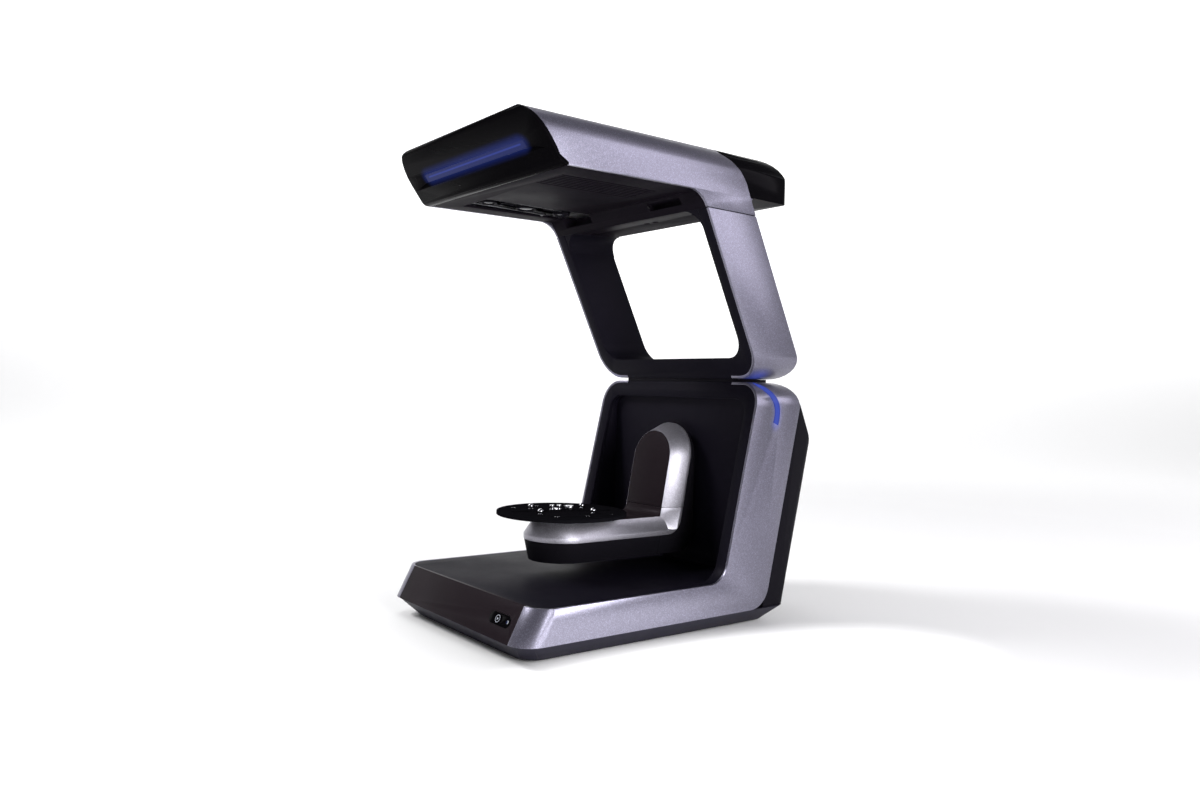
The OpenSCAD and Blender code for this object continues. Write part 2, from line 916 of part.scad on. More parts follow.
module engine_rail() {
    color(steel) {
        box([slot_x - rail_half, slot_front - rail_past, rail_z],
            [slot_x + rail_half, slot_rear + rail_past + rail_t, rail_z + rail_t]);
        for (y = [slot_front - rail_past, slot_rear + rail_past])
            box([slot_x - rail_half, y, beam_top + head_plate_t], [slot_x + rail_half, y + rail_t, rail_z]);
    }
}

optic_low = head_low + 2;
lens_l = 6;

// A square optical block that hangs from the rail, with its lens port below
module optic_block(y, w, l) {
    box([slot_x - w / 2, y - l / 2, optic_low + lens_l], [slot_x + w / 2, y + l / 2, rail_z]);
}

module optic_lens(y, d) {
    translate([slot_x, y, optic_low]) cylinder(d = d, h = lens_l);
}

// The projector looks at the turntable; the cameras stand this far before and behind it
camera_reach = 41;
projector_y = table_y - 3;
projector_w = 38;
projector_l = 34;
camera_w = 30;
camera_l = 26;
projector_lens_d = 20;
camera_lens_d = 16;

module projector_body() {
    color(black) optic_block(projector_y, projector_w, projector_l);
}

module projector_lens() {
    color(steel) optic_lens(projector_y, projector_lens_d);
}

module camera_front() {
    color(black) optic_block(projector_y - camera_reach, camera_w, camera_l);
}

module camera_rear() {
    color(black) optic_block(projector_y + camera_reach, camera_w, camera_l);
}

module camera_lenses() {
    color(steel) {
        optic_lens(projector_y - camera_reach, camera_lens_d);
        optic_lens(projector_y + camera_reach, camera_lens_d);
    }
}

// ---- swing arm ----

// Plan of the arm's foot: a bar with a round end about the turntable's axis
module foot_plan(h, z, half, rear) {
    translate([0, table_y, z]) cylinder(r = half, h = h, $fn = 64);
    box([-half, table_y, z], [half, rear, z + h]);
}

// Front view of the upright: a bar with a round top about the swing axis
module upright_plate(y, t, half, z0, lean) {
    translate([0, y, arm_top]) rotate([-atan(lean), 0, 0]) translate([0, 0, -arm_top]) {
        rod_y(0, 0, swing_z + 1, 2 * half, t);
        box([-half, 0, z0], [half, t, swing_z + 1]);
    }
}

rim_top = arm_top - foot_bevel;
rim_low = rim_top - 4.3;
rim_t = 3;

// Side view of everything silver on the arm
silver_rear = upright_y + bevel_d + rim_t;
silver_side = [
    [table_y - 60, rim_low, 0],
    [silver_rear + upright_lean * (rim_low - arm_top), rim_low, 16],
    [silver_rear + upright_lean * (swing_z + 60 - arm_top), swing_z + 60, 0],
    [table_y - 60, swing_z + 60, 0]
];

module arm_outer() {
    hull() {
        foot_plan(0.1, arm_top - 0.1, face_half, upright_y + 4);
        foot_plan(0.1, rim_top, arm_half, upright_y + 4);
    }
    foot_plan(rim_top - rim_low, rim_low, arm_half, upright_y + bevel_d);
    hull() {
        upright_plate(upright_y, 0.1, face_half, rim_low + 14, upright_lean);
        upright_plate(upright_y + bevel_d, rim_t + 1, arm_half, rim_low - 4, upright_lean);
    }
}

// The flat face: over the drive, then up the upright
module face_side(t) {
    across(concat(
        [[table_y - arm_half, arm_top + 0.2]],
        corner([[table_y, arm_top + 0.2, 0], [upright_y, arm_top + 0.2, 8],
                [upright_y + upright_lean * 100 - 0.2, arm_top + 100, 0]], 1, 6),
        [[upright_y + upright_lean * 110 - 0.2, arm_top + 110],
         [upright_y + upright_lean * 110 + t, arm_top + 110]],
        [[upright_y + t, arm_top - t], [table_y - arm_half, arm_top - t]]), -face_half, face_half);
}

// The face's plate: round over the drive and round at the top of the upright
module face_block(less, t) {
    half = face_half - less;
    intersection() {
        face_side(t);
        foot_plan(150, arm_low, half, arm_rear);
        translate([0, upright_y, arm_top]) rotate([-atan(upright_lean), 0, 0]) {
            rod_y(0, -150, swing_z + 1 - arm_top, 2 * half, 200);
            box([-half, -150, -100], [half, 50, swing_z + 1 - arm_top]);
        }
    }
}

// The drive inside the arm's foot, and the room round it
face_t = 3;
floor_t = 3;
drive_d = 44;
drive_h = 17;
room_half = 18;
drive_bearing_d = 23.4;
drive_flange_t = 3;
hub_d = 30;
hub_gap = 0.6;
// Clearance of a shaft in its bearing, and in what it only passes through
run_fit = 0.08;
pass_fit = 0.6;

// The shaft that the arm swings on
wiring_d = 30;
shaft_in = 8;
shaft_l = 50;
collar_d = 26;
collar_t = 3;
flange_d = 34;
flange_l = 3.5;

module arm_face() {
    color(taupe) difference() {
        face_block(0.5, face_t);
        translate([0, table_y, arm_low]) cylinder(d = drive_bearing_d + pass_fit, h = 60);
    }
}

// Room inside the arm for the drive and the wiring
module arm_room() {
    translate([0, table_y, arm_low + floor_t]) cylinder(d = drive_d + 2, h = 60);
    box([-room_half, table_y, arm_low + floor_t], [room_half, upright_y + 8, arm_top + 1]);
}

module arm_shell() {
    color(silver) difference() {
        intersection() {
            arm_outer();
            across(rounded(silver_side), -arm_half, arm_half);
            box([-arm_half, -100, rim_low], [arm_half, arm_rear, swing_z + 60]);
        }
        face_block(0.1, face_t + 0.05);
        arm_room();
        box([-room_half, upright_y, arm_low], [room_half, arm_rear + 1, arm_top - 2]);
        rod_y(0, 0, swing_z, wiring_d, 100);
    }
}

// The black body lies below the silver rim and behind it
body_half = arm_half - 0.3;
body_taper = 4;
heel_r = 12;

module arm_body() {
    color(black) difference() {
        union() {
            hull() {
                foot_plan(0.1, rim_low - 0.1, body_half, arm_rear);
                foot_plan(0.1, arm_low, body_half - body_taper, arm_rear);
            }
            rod_y(0, upright_y, swing_z + 1, 2 * body_half, arm_rear - upright_y);
            box([-body_half, upright_y, rim_low - 0.2], [body_half, arm_rear, swing_z + 1]);
        }
        across(rounded(inset(silver_side, -0.02)), -half_w, half_w);
        // the lower rear edge is rounded
        difference() {
            box([-half_w, arm_rear - heel_r, arm_low - 1], [half_w, arm_rear + 1, arm_low + heel_r]);
            translate([-half_w, arm_rear - heel_r, arm_low + heel_r]) rotate([0, 90, 0])
                cylinder(r = heel_r, h = 2 * half_w);
        }
        arm_room();
        rod_y(0, 0, swing_z, swing_shaft_d, 100);
        rod_y(0, 0, swing_z, wiring_d, arm_rear - shaft_in);
    }
}

module swing_shaft() {
    color(steel) {
        rod_y(0, arm_rear - shaft_in, swing_z, swing_shaft_d, shaft_l);
        rod_y(0, arm_rear - shaft_in - collar_t, swing_z, collar_d, collar_t);
        rod_y(0, arm_rear, swing_z, flange_d, flange_l);
    }
}

bearing_y = panel_y - 4;
bearing_l = 18;
bearing_flange_d = 60;
bearing_flange_t = 4;
swing_motor_d = 37;
swing_motor_l = 30;
bracket_h = 16;
bracket_t = 2;

module swing_bearing() {
    color(steel) difference() {
        union() {
            rod_y(0, bearing_y, swing_z, bearing_d, bearing_l);
            rod_y(0, panel_y + panel_t, swing_z, bearing_flange_d, bearing_flange_t);
        }
        rod_y(0, bearing_y - 1, swing_z, swing_shaft_d + run_fit, bearing_l + 12);
    }
}

module swing_motor() {
    color(black) difference() {
        union() {
            rod_y(0, bearing_y + bearing_l, swing_z, swing_motor_d, swing_motor_l);
            box([-frame_half, frame_y + frame_d, swing_z - bracket_h / 2],
                [frame_half, frame_y + frame_d + bracket_t, swing_z + bracket_h / 2]);
        }
        rod_y(0, 0, swing_z, swing_shaft_d + pass_fit, arm_rear - shaft_in + shaft_l + 0.5);
    }
}

// ---- turntable ----

drive_top = arm_low + floor_t + drive_h;
spindle_low = arm_low + 8;
disc_low = table_z - table_t;

module turntable_motor() {
    color(steel) difference() {
        translate([0, table_y, arm_low + floor_t]) cylinder(d = drive_d, h = drive_h);
        translate([0, table_y, arm_low + 2 * floor_t]) cylinder(d = spindle_d + pass_fit, h = 30);
    }
}

module turntable_bearing() {
    color(steel) difference() {
        translate([0, table_y, drive_top]) cylinder(d = drive_bearing_d, h = arm_top - drive_top);
        translate([0, table_y, arm_low]) cylinder(d = spindle_d + run_fit, h = 60);
    }
    color(steel) difference() {
        translate([0, table_y, drive_top]) cylinder(d = drive_d, h = drive_flange_t);
        translate([0, table_y, arm_low]) cylinder(d = drive_bearing_d, h = 60);
    }
}

module turntable_spindle() {
    color(steel) {
        translate([0, table_y, spindle_low]) cylinder(d = spindle_d, h = disc_low - spindle_low);
        translate([0, table_y, arm_top + hub_gap]) cylinder(d = hub_d, h = disc_low - arm_top - hub_gap);
    }
}

groove_w = 9;
groove_d = 1.6;
// How far the groove's ends stay inside the disc's edge
groove_end = 12;
ball_d = 5;
pin_d = 4;
pin_deep = 2;
screw_d = 4.3;
screw_deep = 2.2;

// Turns a piece on the disc to the angle at which the disc stands
table_turn = -20;
module on_table() {
    translate([0, table_y, table_z]) rotate([0, 0, table_turn]) children();
}

screw_places = [[36, 14], [-36, 14], [36, -14], [-36, -14], [27, 38], [-27, -38]];
ball_places = [[-18, 24], [18, 24], [18, -24], [-18, -24]];

module turntable_disc() {
    color(taupe) difference() {
        on_table() translate([0, 0, -table_t]) cylinder(r = table_r, h = table_t, $fn = 96);
        on_table() translate([-groove_w / 2, -table_r + groove_end, -groove_d])
            cube([groove_w, 2 * (table_r - groove_end), 5]);
        for (p = screw_places)
            on_table() translate([p.x, p.y, -screw_deep]) cylinder(d = screw_d + 0.1, h = 5);
        for (p = ball_places)
            on_table() translate([p.x, p.y, -pin_deep]) cylinder(d = pin_d, h = 5);
    }
}

module locating_balls() {
    color([0.85, 0.85, 0.88])
        for (p = ball_places) on_table() translate([p.x, p.y, 0]) {
            translate([0, 0, -pin_deep]) cylinder(d = pin_d - 0.02, h = pin_deep + 1);
            translate([0, 0, ball_d / 2 - 0.3]) sphere(d = ball_d);
        }
}

slide_l = 26;
slide_t = 2.4;

module plate_clamp() {
    color([0.85, 0.85, 0.88]) on_table() {
        translate([-groove_w / 2 + fit, -slide_l / 2, -groove_d])
            cube([groove_w - 2 * fit, slide_l, slide_t]);
        for (y = [-9, -2.5]) translate([0, y, 0.5]) cylinder(d = 4.4, h = 5);
        translate([0, 7, 0.5]) cylinder(d = 8, h = 4.6);
    }
}

module disc_screws() {
    color(steel)
        for (p = screw_places)
            on_table() translate([p.x, p.y, -screw_deep]) cylinder(d = screw_d, h = screw_deep - fit);
}

// ---- electronics and the rear panel ----

board_half = 60;
board_front = -90;
board_rear = 10;
stand_in = 6;
stand_h = 5;
board_z = chassis_z + chassis_t + stand_h;

module main_board() {
    color([0.15, 0.35, 0.2]) {
        box([-board_half, board_front, board_z], [board_half, board_rear, board_z + board_t]);
        for (x = [-board_half + stand_in, board_half - stand_in],
             y = [board_front + stand_in, board_rear - stand_in])
            translate([x, y, chassis_z + chassis_t]) cylinder(d = stand_in, h = stand_h);
    }
    color(black) {
        box([-20, -60, board_z + board_t], [0, -40, board_z + board_t + 2.4]);
        box([20, -30, board_z + board_t], [44, -16, board_z + board_t + 5.4]);
    }
}

rocker_x = io_x + 22;
jack_x = io_x - 28;
usb_x = io_x - 8;
io_mid = (io_low + io_high) / 2;

// The panel lies at the bottom of a tray that ends just inside the rear cover's skin
module io_tray(less, y) {
    intersection() {
        box([io_x - io_half + less, y, io_low + less], [io_x + io_half - less, 200, io_high - less]);
        across([[y, 0], [low_front_at(0) + band_d + rear_d - 0.6, 0],
                [low_front_at(80) + band_d + rear_d - 0.6, 80], [y, 80]], -half_w, half_w);
    }
}

module io_panel() {
    color(black) difference() {
        union() {
            difference() {
                io_tray(fit, io_y);
                io_tray(fit + 1.6, io_y + 2);
            }
            box([io_x - 30, frame_y + frame_d + 2, chassis_z + chassis_t], [io_x + 30, io_y, io_low + 3]);
        }
        box([rocker_x - 7.2, io_y - 20, io_mid - 10.2], [rocker_x + 7.2, io_y + 5, io_mid + 10.2]);
        rod_y(jack_x, io_y - 12, io_mid, 9.4, 20);
        for (x = [usb_x - 8, usb_x + 8])
            box([x - 6.2, io_y - 12, io_mid - 5.9], [x + 6.2, io_y + 5, io_mid + 5.9]);
    }
}

module power_jack() {
    color(black) difference() {
        union() {
            rod_y(jack_x, io_y - 8, io_mid, 9, 10.4);
            box([jack_x - 5, io_y - 8, io_mid - 5], [jack_x + 5, io_y, io_mid + 5]);
        }
        rod_y(jack_x, io_y - 5, io_mid, 5.6, 20);
    }
    color(steel) rod_y(jack_x, io_y - 6, io_mid, 2, 8);
}

module usb_ports() {
    color(steel) for (x = [usb_x - 8, usb_x + 8]) difference() {
        box([x - 6, io_y - 11, io_mid - 5.7], [x + 6, io_y + 2.6, io_mid + 5.7]);
        box([x - 4.3, io_y - 9, io_mid - 4.1], [x + 4.3, io_y + 5, io_mid + 4.1]);
    }
}

rocker_axis_y = io_y + 0.2;

module rocker_housing() {
    color(black) difference() {
        union() {
            box([rocker_x - 7, io_y - 6, io_mid - 10], [rocker_x + 7, io_y + 2, io_mid + 10]);
            box([rocker_x - 8.5, io_y + 2, io_mid - 10.9], [rocker_x + 8.5, io_y + 3, io_mid + 10.9]);
        }
        box([rocker_x - 5.3, io_y - 4.4, io_mid - 8.6], [rocker_x + 5.3, io_y + 5, io_mid + 8.6]);
        translate([rocker_x - 7.5, rocker_axis_y, io_mid]) rotate([0, 90, 0])
            cylinder(d = 2.08, h = 15);
    }
}

// The rocker rests with its upper end pressed in
rocker_tilt = 7;

module power_rocker() {
    color(black) translate([rocker_x, rocker_axis_y, io_mid]) rotate([rocker_tilt, 0, 0]) {
        difference() {
            box([-5, -1.8, -8], [5, 4.2, 8]);
            translate([-6, 7.5, 0]) rotate([0, 90, 0]) cylinder(r = 4.6, h = 12);
        }
        translate([-6.9, 0, 0]) rotate([0, 90, 0]) cylinder(d = 2, h = 13.8);
    }
}

module panel_screws() {
    color(steel)
        for (x = [-boss_x, boss_x], y = [boss_front, boss_rear])
            translate([x, y, chassis_z + chassis_t]) cylinder(d = 7, h = 2.4);
}

bottom_pan();
rubber_feet();
base_chassis();
deck_plate();
front_fascia();
side_shell_left();
side_shell_right();
side_light_left();
side_light_right();
column_bezel();
recess_liner();
back_panel();
rear_cover();
column_frame();
column_top_cap();
neck_block();
upper_frame();
upper_shell_left();
upper_shell_right();
beam_cover();
head_chassis();
head_shell();
head_front_cap();
head_bottom_cover();
rear_brow();
light_bar();
light_bar_board();
engine_rail();
projector_body();
projector_lens();
camera_front();
camera_rear();
camera_lenses();
arm_face();
arm_shell();
arm_body();
swing_shaft();
swing_bearing();
swing_motor();
turntable_motor();
turntable_bearing();
turntable_spindle();
turntable_disc();
locating_balls();
plate_clamp();
disc_screws();
button_plate();
start_button();
button_light();
button_switch();
main_board();
io_panel();
power_jack();
usb_ports();
rocker_housing();
power_rocker();
panel_screws();
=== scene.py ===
import bpy
import bmesh
import json
import math
import random
from mathutils import Matrix, Vector


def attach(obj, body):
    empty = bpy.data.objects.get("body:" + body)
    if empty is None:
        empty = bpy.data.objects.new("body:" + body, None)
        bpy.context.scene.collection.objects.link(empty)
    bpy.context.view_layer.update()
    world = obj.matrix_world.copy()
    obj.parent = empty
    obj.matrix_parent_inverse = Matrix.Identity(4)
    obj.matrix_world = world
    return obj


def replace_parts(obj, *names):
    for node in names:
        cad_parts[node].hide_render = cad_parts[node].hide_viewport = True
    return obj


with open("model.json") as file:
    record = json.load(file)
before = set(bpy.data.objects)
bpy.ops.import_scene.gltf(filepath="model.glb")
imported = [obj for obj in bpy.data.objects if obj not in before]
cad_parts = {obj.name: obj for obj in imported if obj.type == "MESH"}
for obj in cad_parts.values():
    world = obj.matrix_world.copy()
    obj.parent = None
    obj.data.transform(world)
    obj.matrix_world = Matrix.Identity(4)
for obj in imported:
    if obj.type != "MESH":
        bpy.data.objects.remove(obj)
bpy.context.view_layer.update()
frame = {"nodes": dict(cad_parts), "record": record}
NODES = frame["nodes"]
RECORD = frame["record"]
BODY_OF = {n: b for b, ns in RECORD["behaviour"]["bodies"].items() for n in ns}
SLOT_OF = {s["node"]: s["material_slot"] for s in RECORD["subparts"]}
MM = 0.001
random.seed(7)


# ---------------------------------------------------------------- places on the part

# in mm: the silver shell's outer face and the shoulder that rounds it off above
SHELL_HALF, SHOULDER_R, SHOULDER_Z = 111.0, 22.0, 196.5
SHOULDER_X = SHELL_HALF - SHOULDER_R
# in mm: the middle and radius of the side strip's arc, and its ends in degrees from +Y to +Z
STRIP_Y, STRIP_Z, STRIP_R = 83.0, 191.5, 27.0
STRIP_FROM, STRIP_TO = -22.0, 68.0
STRIP = dict(cy=STRIP_Y * MM, cz=STRIP_Z * MM, r=STRIP_R * MM, a0=STRIP_FROM, a1=STRIP_TO)
# in metres: the head's lower front ridge, and the light line's height over it and half length
RIDGE = Vector((0.0, -0.142, 0.386))
FACE_UP = Vector((0.0, -23.0, 31.0)).normalized()
FACE_OUT = Vector((1.0, 0.0, 0.0)).cross(FACE_UP)
BAR_UP, BAR_HALF = 0.0085, 0.074
# in mm: the turntable's top and how far it is turned, in degrees
TABLE_Y, TABLE_Z, TABLE_TURN = -46.7, 99.2, -20.0
ON_TABLE = (Matrix.Translation((0, TABLE_Y * MM, TABLE_Z * MM))
            @ Matrix.Rotation(math.radians(TABLE_TURN), 4, "Z"))
SCREWS = [(36, 14), (-36, 14), (36, -14), (-36, -14), (27, 38), (-27, -38)]
BALLS = [(-18, 24), (18, 24), (18, -24), (-18, -24)]
# in mm: the optics slot, its lenses, and what lies beside them
SLOT_X, OPTIC_LOW = -66.5, 376.3
PROJECTOR_Y, CAMERA_REACH = TABLE_Y - 3, 41
RAILS_X, RAIL_FROM_Y, RAIL_TO_Y = (-80.6, -53.4), -100, -18
# in mm: the screws under the beam, and the stud in its slot
BEAM_SCREWS, BEAM_SCREW_Y, BEAM_SCREW_Z = [-88, -72, 10, 22, 74], 36, 369.5
STUD = (42.0, 9.5, 371.8)
# in mm: the fascia's middle, the button on it and the small light beside the button
FASCIA_Y, FASCIA_Z, BUTTON_X = -151.0, 30.25, 67.0
LAMP_X, LAMP_Z = 79.1, 30.2
FASCIA_UP = Vector((0.0, 14.0, 27.5)).normalized()
FASCIA_OUT = Vector((1.0, 0.0, 0.0)).cross(FASCIA_UP)

UNLIT = (0.0, 0.0, 0.0)
BLUE = (0.03, 0.075, 0.62)
BAR_BLUE = (0.022, 0.040, 0.25)
SHEEN = (0.94, 0.84, 1.0)
DEEP_BLACK = (0.0024, 0.0022, 0.0028)


# ---------------------------------------------------------------- node trees

class Sock:
    """A value in a node tree that can be used with + - * / like a number."""

    def __init__(self, tree, value):
        self.t = tree
        self.v = value

    def _m(self, op, a, b=None, clamp=False):
        return self.t.math(op, a, b, clamp)

    def __add__(self, o): return self._m("ADD", self, o)
    def __radd__(self, o): return self._m("ADD", o, self)
    def __sub__(self, o): return self._m("SUBTRACT", self, o)
    def __rsub__(self, o): return self._m("SUBTRACT", o, self)
    def __mul__(self, o): return self._m("MULTIPLY", self, o)
    def __rmul__(self, o): return self._m("MULTIPLY", o, self)
    def __truediv__(self, o): return self._m("DIVIDE", self, o)
    def __rtruediv__(self, o): return self._m("DIVIDE", o, self)
    def __pow__(self, o): return self._m("POWER", self, o)
    def abs(self): return self._m("ABSOLUTE", self)
    def clamp(self): return self._m("ADD", self, 0.0, clamp=True)
    def min(self, o): return self._m("MINIMUM", self, o)
    def max(self, o): return self._m("MAXIMUM", self, o)
    def sqrt(self): return self._m("SQRT", self)
    def less(self, o): return self._m("LESS_THAN", self, o)

    def _range(self, lo, hi, a, b, **settings):
        n = self.t.node("ShaderNodeMapRange", {"Value": self, "From Min": lo, "From Max": hi,
                                               "To Min": a, "To Max": b}, **settings)
        return Sock(self.t, n.outputs[0])

    def ramp(self, lo, hi, a=0.0, b=1.0):
        """Goes from a at lo to b at hi, straight, and stays there outside."""
        return self._range(lo, hi, a, b, clamp=True)

    def smooth(self, lo, hi, a=0.0, b=1.0):
        """Goes from a at lo to b at hi with soft ends, and stays there outside."""
        return self._range(lo, hi, a, b, interpolation_type="SMOOTHSTEP")


class Tree:
    """One material's node tree; x, y and z are the object's own coordinates in metres."""

    def __init__(self, name):
        self.m = bpy.data.materials.new(name)
        self.m.use_nodes = True
        self.nt = self.m.node_tree
        self.nt.nodes.clear()
        out = self.node("ShaderNodeOutputMaterial")
        self.b = self.node("ShaderNodeBsdfPrincipled")
        self.nt.links.new(self.b.outputs[0], out.inputs[0])
        self.co = Sock(self, self.node("ShaderNodeTexCoord").outputs["Object"])
        xyz = self.node("ShaderNodeSeparateXYZ", {"Vector": self.co})
        self.x, self.y, self.z = (Sock(self, xyz.outputs[i]) for i in range(3))

    def node(self, kind, inputs=None, **settings):
        """A new node: its settings first, then the values or links of its sockets."""
        n = self.nt.nodes.new(kind)
        for k, v in settings.items():
            setattr(n, k, v)
        for k, v in (inputs or {}).items():
            self.put(n.inputs[k], v)
        return n

    def put(self, socket, v):
        """Links a socket or sets its value; a colour of three numbers is made opaque."""
        if isinstance(v, Sock):
            self.nt.links.new(v.v, socket)
        elif isinstance(v, tuple) and len(v) == 3:
            socket.default_value = (*v, 1.0)
        else:
            socket.default_value = v

    def math(self, op, a, b=None, clamp=False):
        n = self.node("ShaderNodeMath", {i: v for i, v in enumerate((a, b)) if v is not None},
                      operation=op, use_clamp=clamp)
        return Sock(self, n.outputs[0])

    def noise(self, scale, detail=2.0, rough=0.5, vec=None):
        n = self.node("ShaderNodeTexNoise", {"Vector": vec or self.co, "Scale": scale,
                                             "Detail": detail, "Roughness": rough})
        return Sock(self, n.outputs[0])

    def cells(self, scale, feature="F1"):
        n = self.node("ShaderNodeTexVoronoi", {"Vector": self.co, "Scale": scale}, feature=feature)
        return Sock(self, n.outputs[0])

    def vec(self, x, y, z):
        return Sock(self, self.node("ShaderNodeCombineXYZ", {0: x, 1: y, 2: z}).outputs[0])

    def stretch(self, sx, sy, sz):
        return self.vec(self.x * sx, self.y * sy, self.z * sz)

    def mix(self, f, a, b):
        """Colour a where f is 0 and b where f is 1."""
        n = self.node("ShaderNodeMix", {0: f, 6: a, 7: b}, data_type="RGBA")
        return Sock(self, n.outputs[2])

    def bump(self, height, strength, distance, normal=None):
        n = self.node("ShaderNodeBump", {"Height": height, "Strength": strength,
                                         "Distance": distance})
        if normal is not None:
            self.put(n.inputs["Normal"], normal)
        return Sock(self, n.outputs[0])

    def set(self, **values):
        """Sets the shader's sockets by their names, with _ for a space."""
        for k, v in values.items():
            self.put(self.b.inputs[k.replace("_", " ")], v)

    def edge_wear(self, low=0.5, high=0.75):
        """A patchy mask of small worn spots, more along the borders of patches."""
        patch = self.noise(38.0, 3.0, 0.6).smooth(low, high)
        speck = self.noise(900.0, 2.0, 0.7).smooth(0.52, 0.62)
        return (patch * speck).clamp()


def toned(colour, k):
    """The colour made darker or lighter, by the factor k."""
    return tuple(min(1.0, c * k) for c in colour)


def near_arc(t, cy, cz, r, a0, a1):
    """Distance in metres to an arc in the YZ plane, ends included, in degrees from +Y to +Z."""
    dy, dz = t.y - cy, t.z - cz
    reach = (dy * dy + dz * dz).sqrt()
    ring = (reach - r).abs()
    mid, half = math.radians((a0 + a1) / 2), math.radians((a1 - a0) / 2)
    along = (dy * math.cos(mid) + dz * math.sin(mid)) / reach.max(0.001)
    outside = along.less(math.cos(half))
    ends = []
    for a in (a0, a1):
        ey = t.y - (cy + r * math.cos(math.radians(a)))
        ez = t.z - (cz + r * math.sin(math.radians(a)))
        ends.append((ey * ey + ez * ez).sqrt())
    far = ends[0].min(ends[1])
    return ring * (1.0 - outside) + far * outside


# ---------------------------------------------------------------- lights that shine on a finish

def strip_glow(t):
    """The side strip's light on the paint around it."""
    side = t.x.abs().smooth(0.104, 0.110)
    soft = (near_arc(t, **STRIP).smooth(0.0, 0.011, 1.0, 0.0) ** 2.0) * side
    t.set(Emission_Color=t.mix(soft, UNLIT, BLUE), Emission_Strength=0.4)


def waist_glow(t):
    """The side strip's light on the lower end of the upper column."""
    dy, dz = t.y - 0.098, t.z - 0.2195
    d = (dy * dy * 0.55 + dz * dz).sqrt()
    soft = (d.smooth(0.0, 0.016, 1.0, 0.0) ** 1.6) * t.x.abs().smooth(0.080, 0.106)
    t.set(Emission_Color=t.mix(soft, UNLIT, BLUE), Emission_Strength=0.8)


def arc_mask(t):
    """The side strip is brightest along its middle."""
    return near_arc(t, **STRIP).smooth(0.0018, 0.0036, 1.0, 0.55)


def bar_distance(t):
    """Distance in metres from the light line, measured along the head's front face."""
    up = (t.y - RIDGE.y) * FACE_UP.y + (t.z - RIDGE.z) * FACE_UP.z
    across = (t.x.abs() - BAR_HALF).max(0.0)
    off = (up - BAR_UP).abs()
    return (off * off + across * across * 0.5).sqrt()


def bar_mask(t):
    """A thin bright core inside a soft band that fades out; the same on the cap and the strip."""
    d = bar_distance(t)
    core = d.smooth(0.0003, 0.0011, 0.55, 0.0)
    band = d.smooth(0.0020, 0.0105, 0.45, 0.0)
    return (core + band) * t.y.less(RIDGE.y + 0.002)


def lamp_mask(t):
    """Only the outer side of the lamp's end is bright, as a crescent."""
    dx, dz = t.x - LAMP_X * MM, t.z - LAMP_Z * MM
    return (dx * dx + dz * dz * 1.26).sqrt().smooth(0.0012, 0.0017)


# ---------------------------------------------------------------- finishes

def mat_silver(name="silver_paint", base=(0.158, 0.152, 0.200), rough=0.34, glow=None):
    """Silver paint with fine flakes in it."""
    t = Tree(name)
    sparkle = (t.noise(1500.0, 2.0, 0.7).smooth(0.46, 0.66)
               * t.noise(3900.0, 1.0, 0.5).smooth(0.30, 0.70))
    cloud = t.noise(9.0, 3.0, 0.55).ramp(0.3, 0.7)
    col = t.mix(sparkle * 0.8, toned(base, 0.90), toned(base, 2.3))
    col = t.mix(cloud * 0.05, col, toned(base, 0.72))
    wear = t.edge_wear(0.58, 0.8)
    col = t.mix(wear * 0.06, col, toned(base, 1.3))
    smear = t.noise(26.0, 4.0, 0.6, t.stretch(1.0, 0.35, 1.0)).ramp(0.35, 0.7, -0.01, 0.02)
    fine = t.noise(2600.0, 2.0, 0.6)
    t.set(Base_Color=col, Metallic=0.82, Roughness=sparkle * 0.10 + smear + rough - wear * 0.02,
          Coat_Weight=0.18, Coat_Roughness=0.28,
          Normal=t.bump(fine, 0.16, 0.00012, t.bump(t.noise(60.0, 3.0), 0.02, 0.0003)))
    if glow:
        glow(t)
    return t.m


def mat_black(name="black_moulding", base=(0.0052, 0.0048, 0.0066), rough=0.42, grain=1500.0,
              strength=0.35, spec=0.02):
    """Black moulding with a fine grain and a little dust."""
    t = Tree(name)
    g = t.noise(grain, 2.0, 0.6)
    pit = t.cells(grain * 0.7)
    dust = t.edge_wear(0.5, 0.78)
    col = t.mix(g.ramp(0.35, 0.7) * 0.35, base, toned(base, 1.8))
    col = t.mix(dust * 0.05, col, (0.05, 0.047, 0.05))
    smear = t.noise(14.0, 4.0, 0.6).ramp(0.35, 0.7, -0.04, 0.07)
    t.set(Base_Color=col, Roughness=smear + g * 0.08 + rough + dust * 0.1,
          Normal=t.bump(g * 0.6 + pit * 0.4, strength, 0.0001,
                        t.bump(t.noise(45.0, 2.0), 0.04, 0.0005)),
          Specular_IOR_Level=spec, Specular_Tint=SHEEN)
    return t.m


def mat_gloss(name, spec, lit=False):
    """Glossy black with faint smudges and lint; the cap's has the light line's glow on it."""
    t = Tree(name)
    smudge = t.noise(30.0, 5.0, 0.65, t.stretch(1.0, 1.0, 0.6)).smooth(0.42, 0.72)
    lint = t.noise(1400.0, 1.0, 0.5).smooth(0.70, 0.76)
    hair = t.noise(55.0, 2.0, 0.5, t.stretch(1.0, 9.0, 9.0)).smooth(0.66, 0.70)
    t.set(Base_Color=t.mix(lint * 0.12, DEEP_BLACK, (0.05, 0.05, 0.05)),
          Roughness=smudge * 0.07 + 0.11 + lint * 0.2 + hair * 0.03,
          Normal=t.bump(t.noise(22.0, 2.0), 0.05, 0.0006, t.bump(t.noise(900.0, 1.0), 0.03, 0.0001)),
          Specular_IOR_Level=spec, Specular_Tint=SHEEN)
    if lit:
        t.set(Emission_Color=t.mix(bar_mask(t), UNLIT, BAR_BLUE), Emission_Strength=1.0)
    return t.m


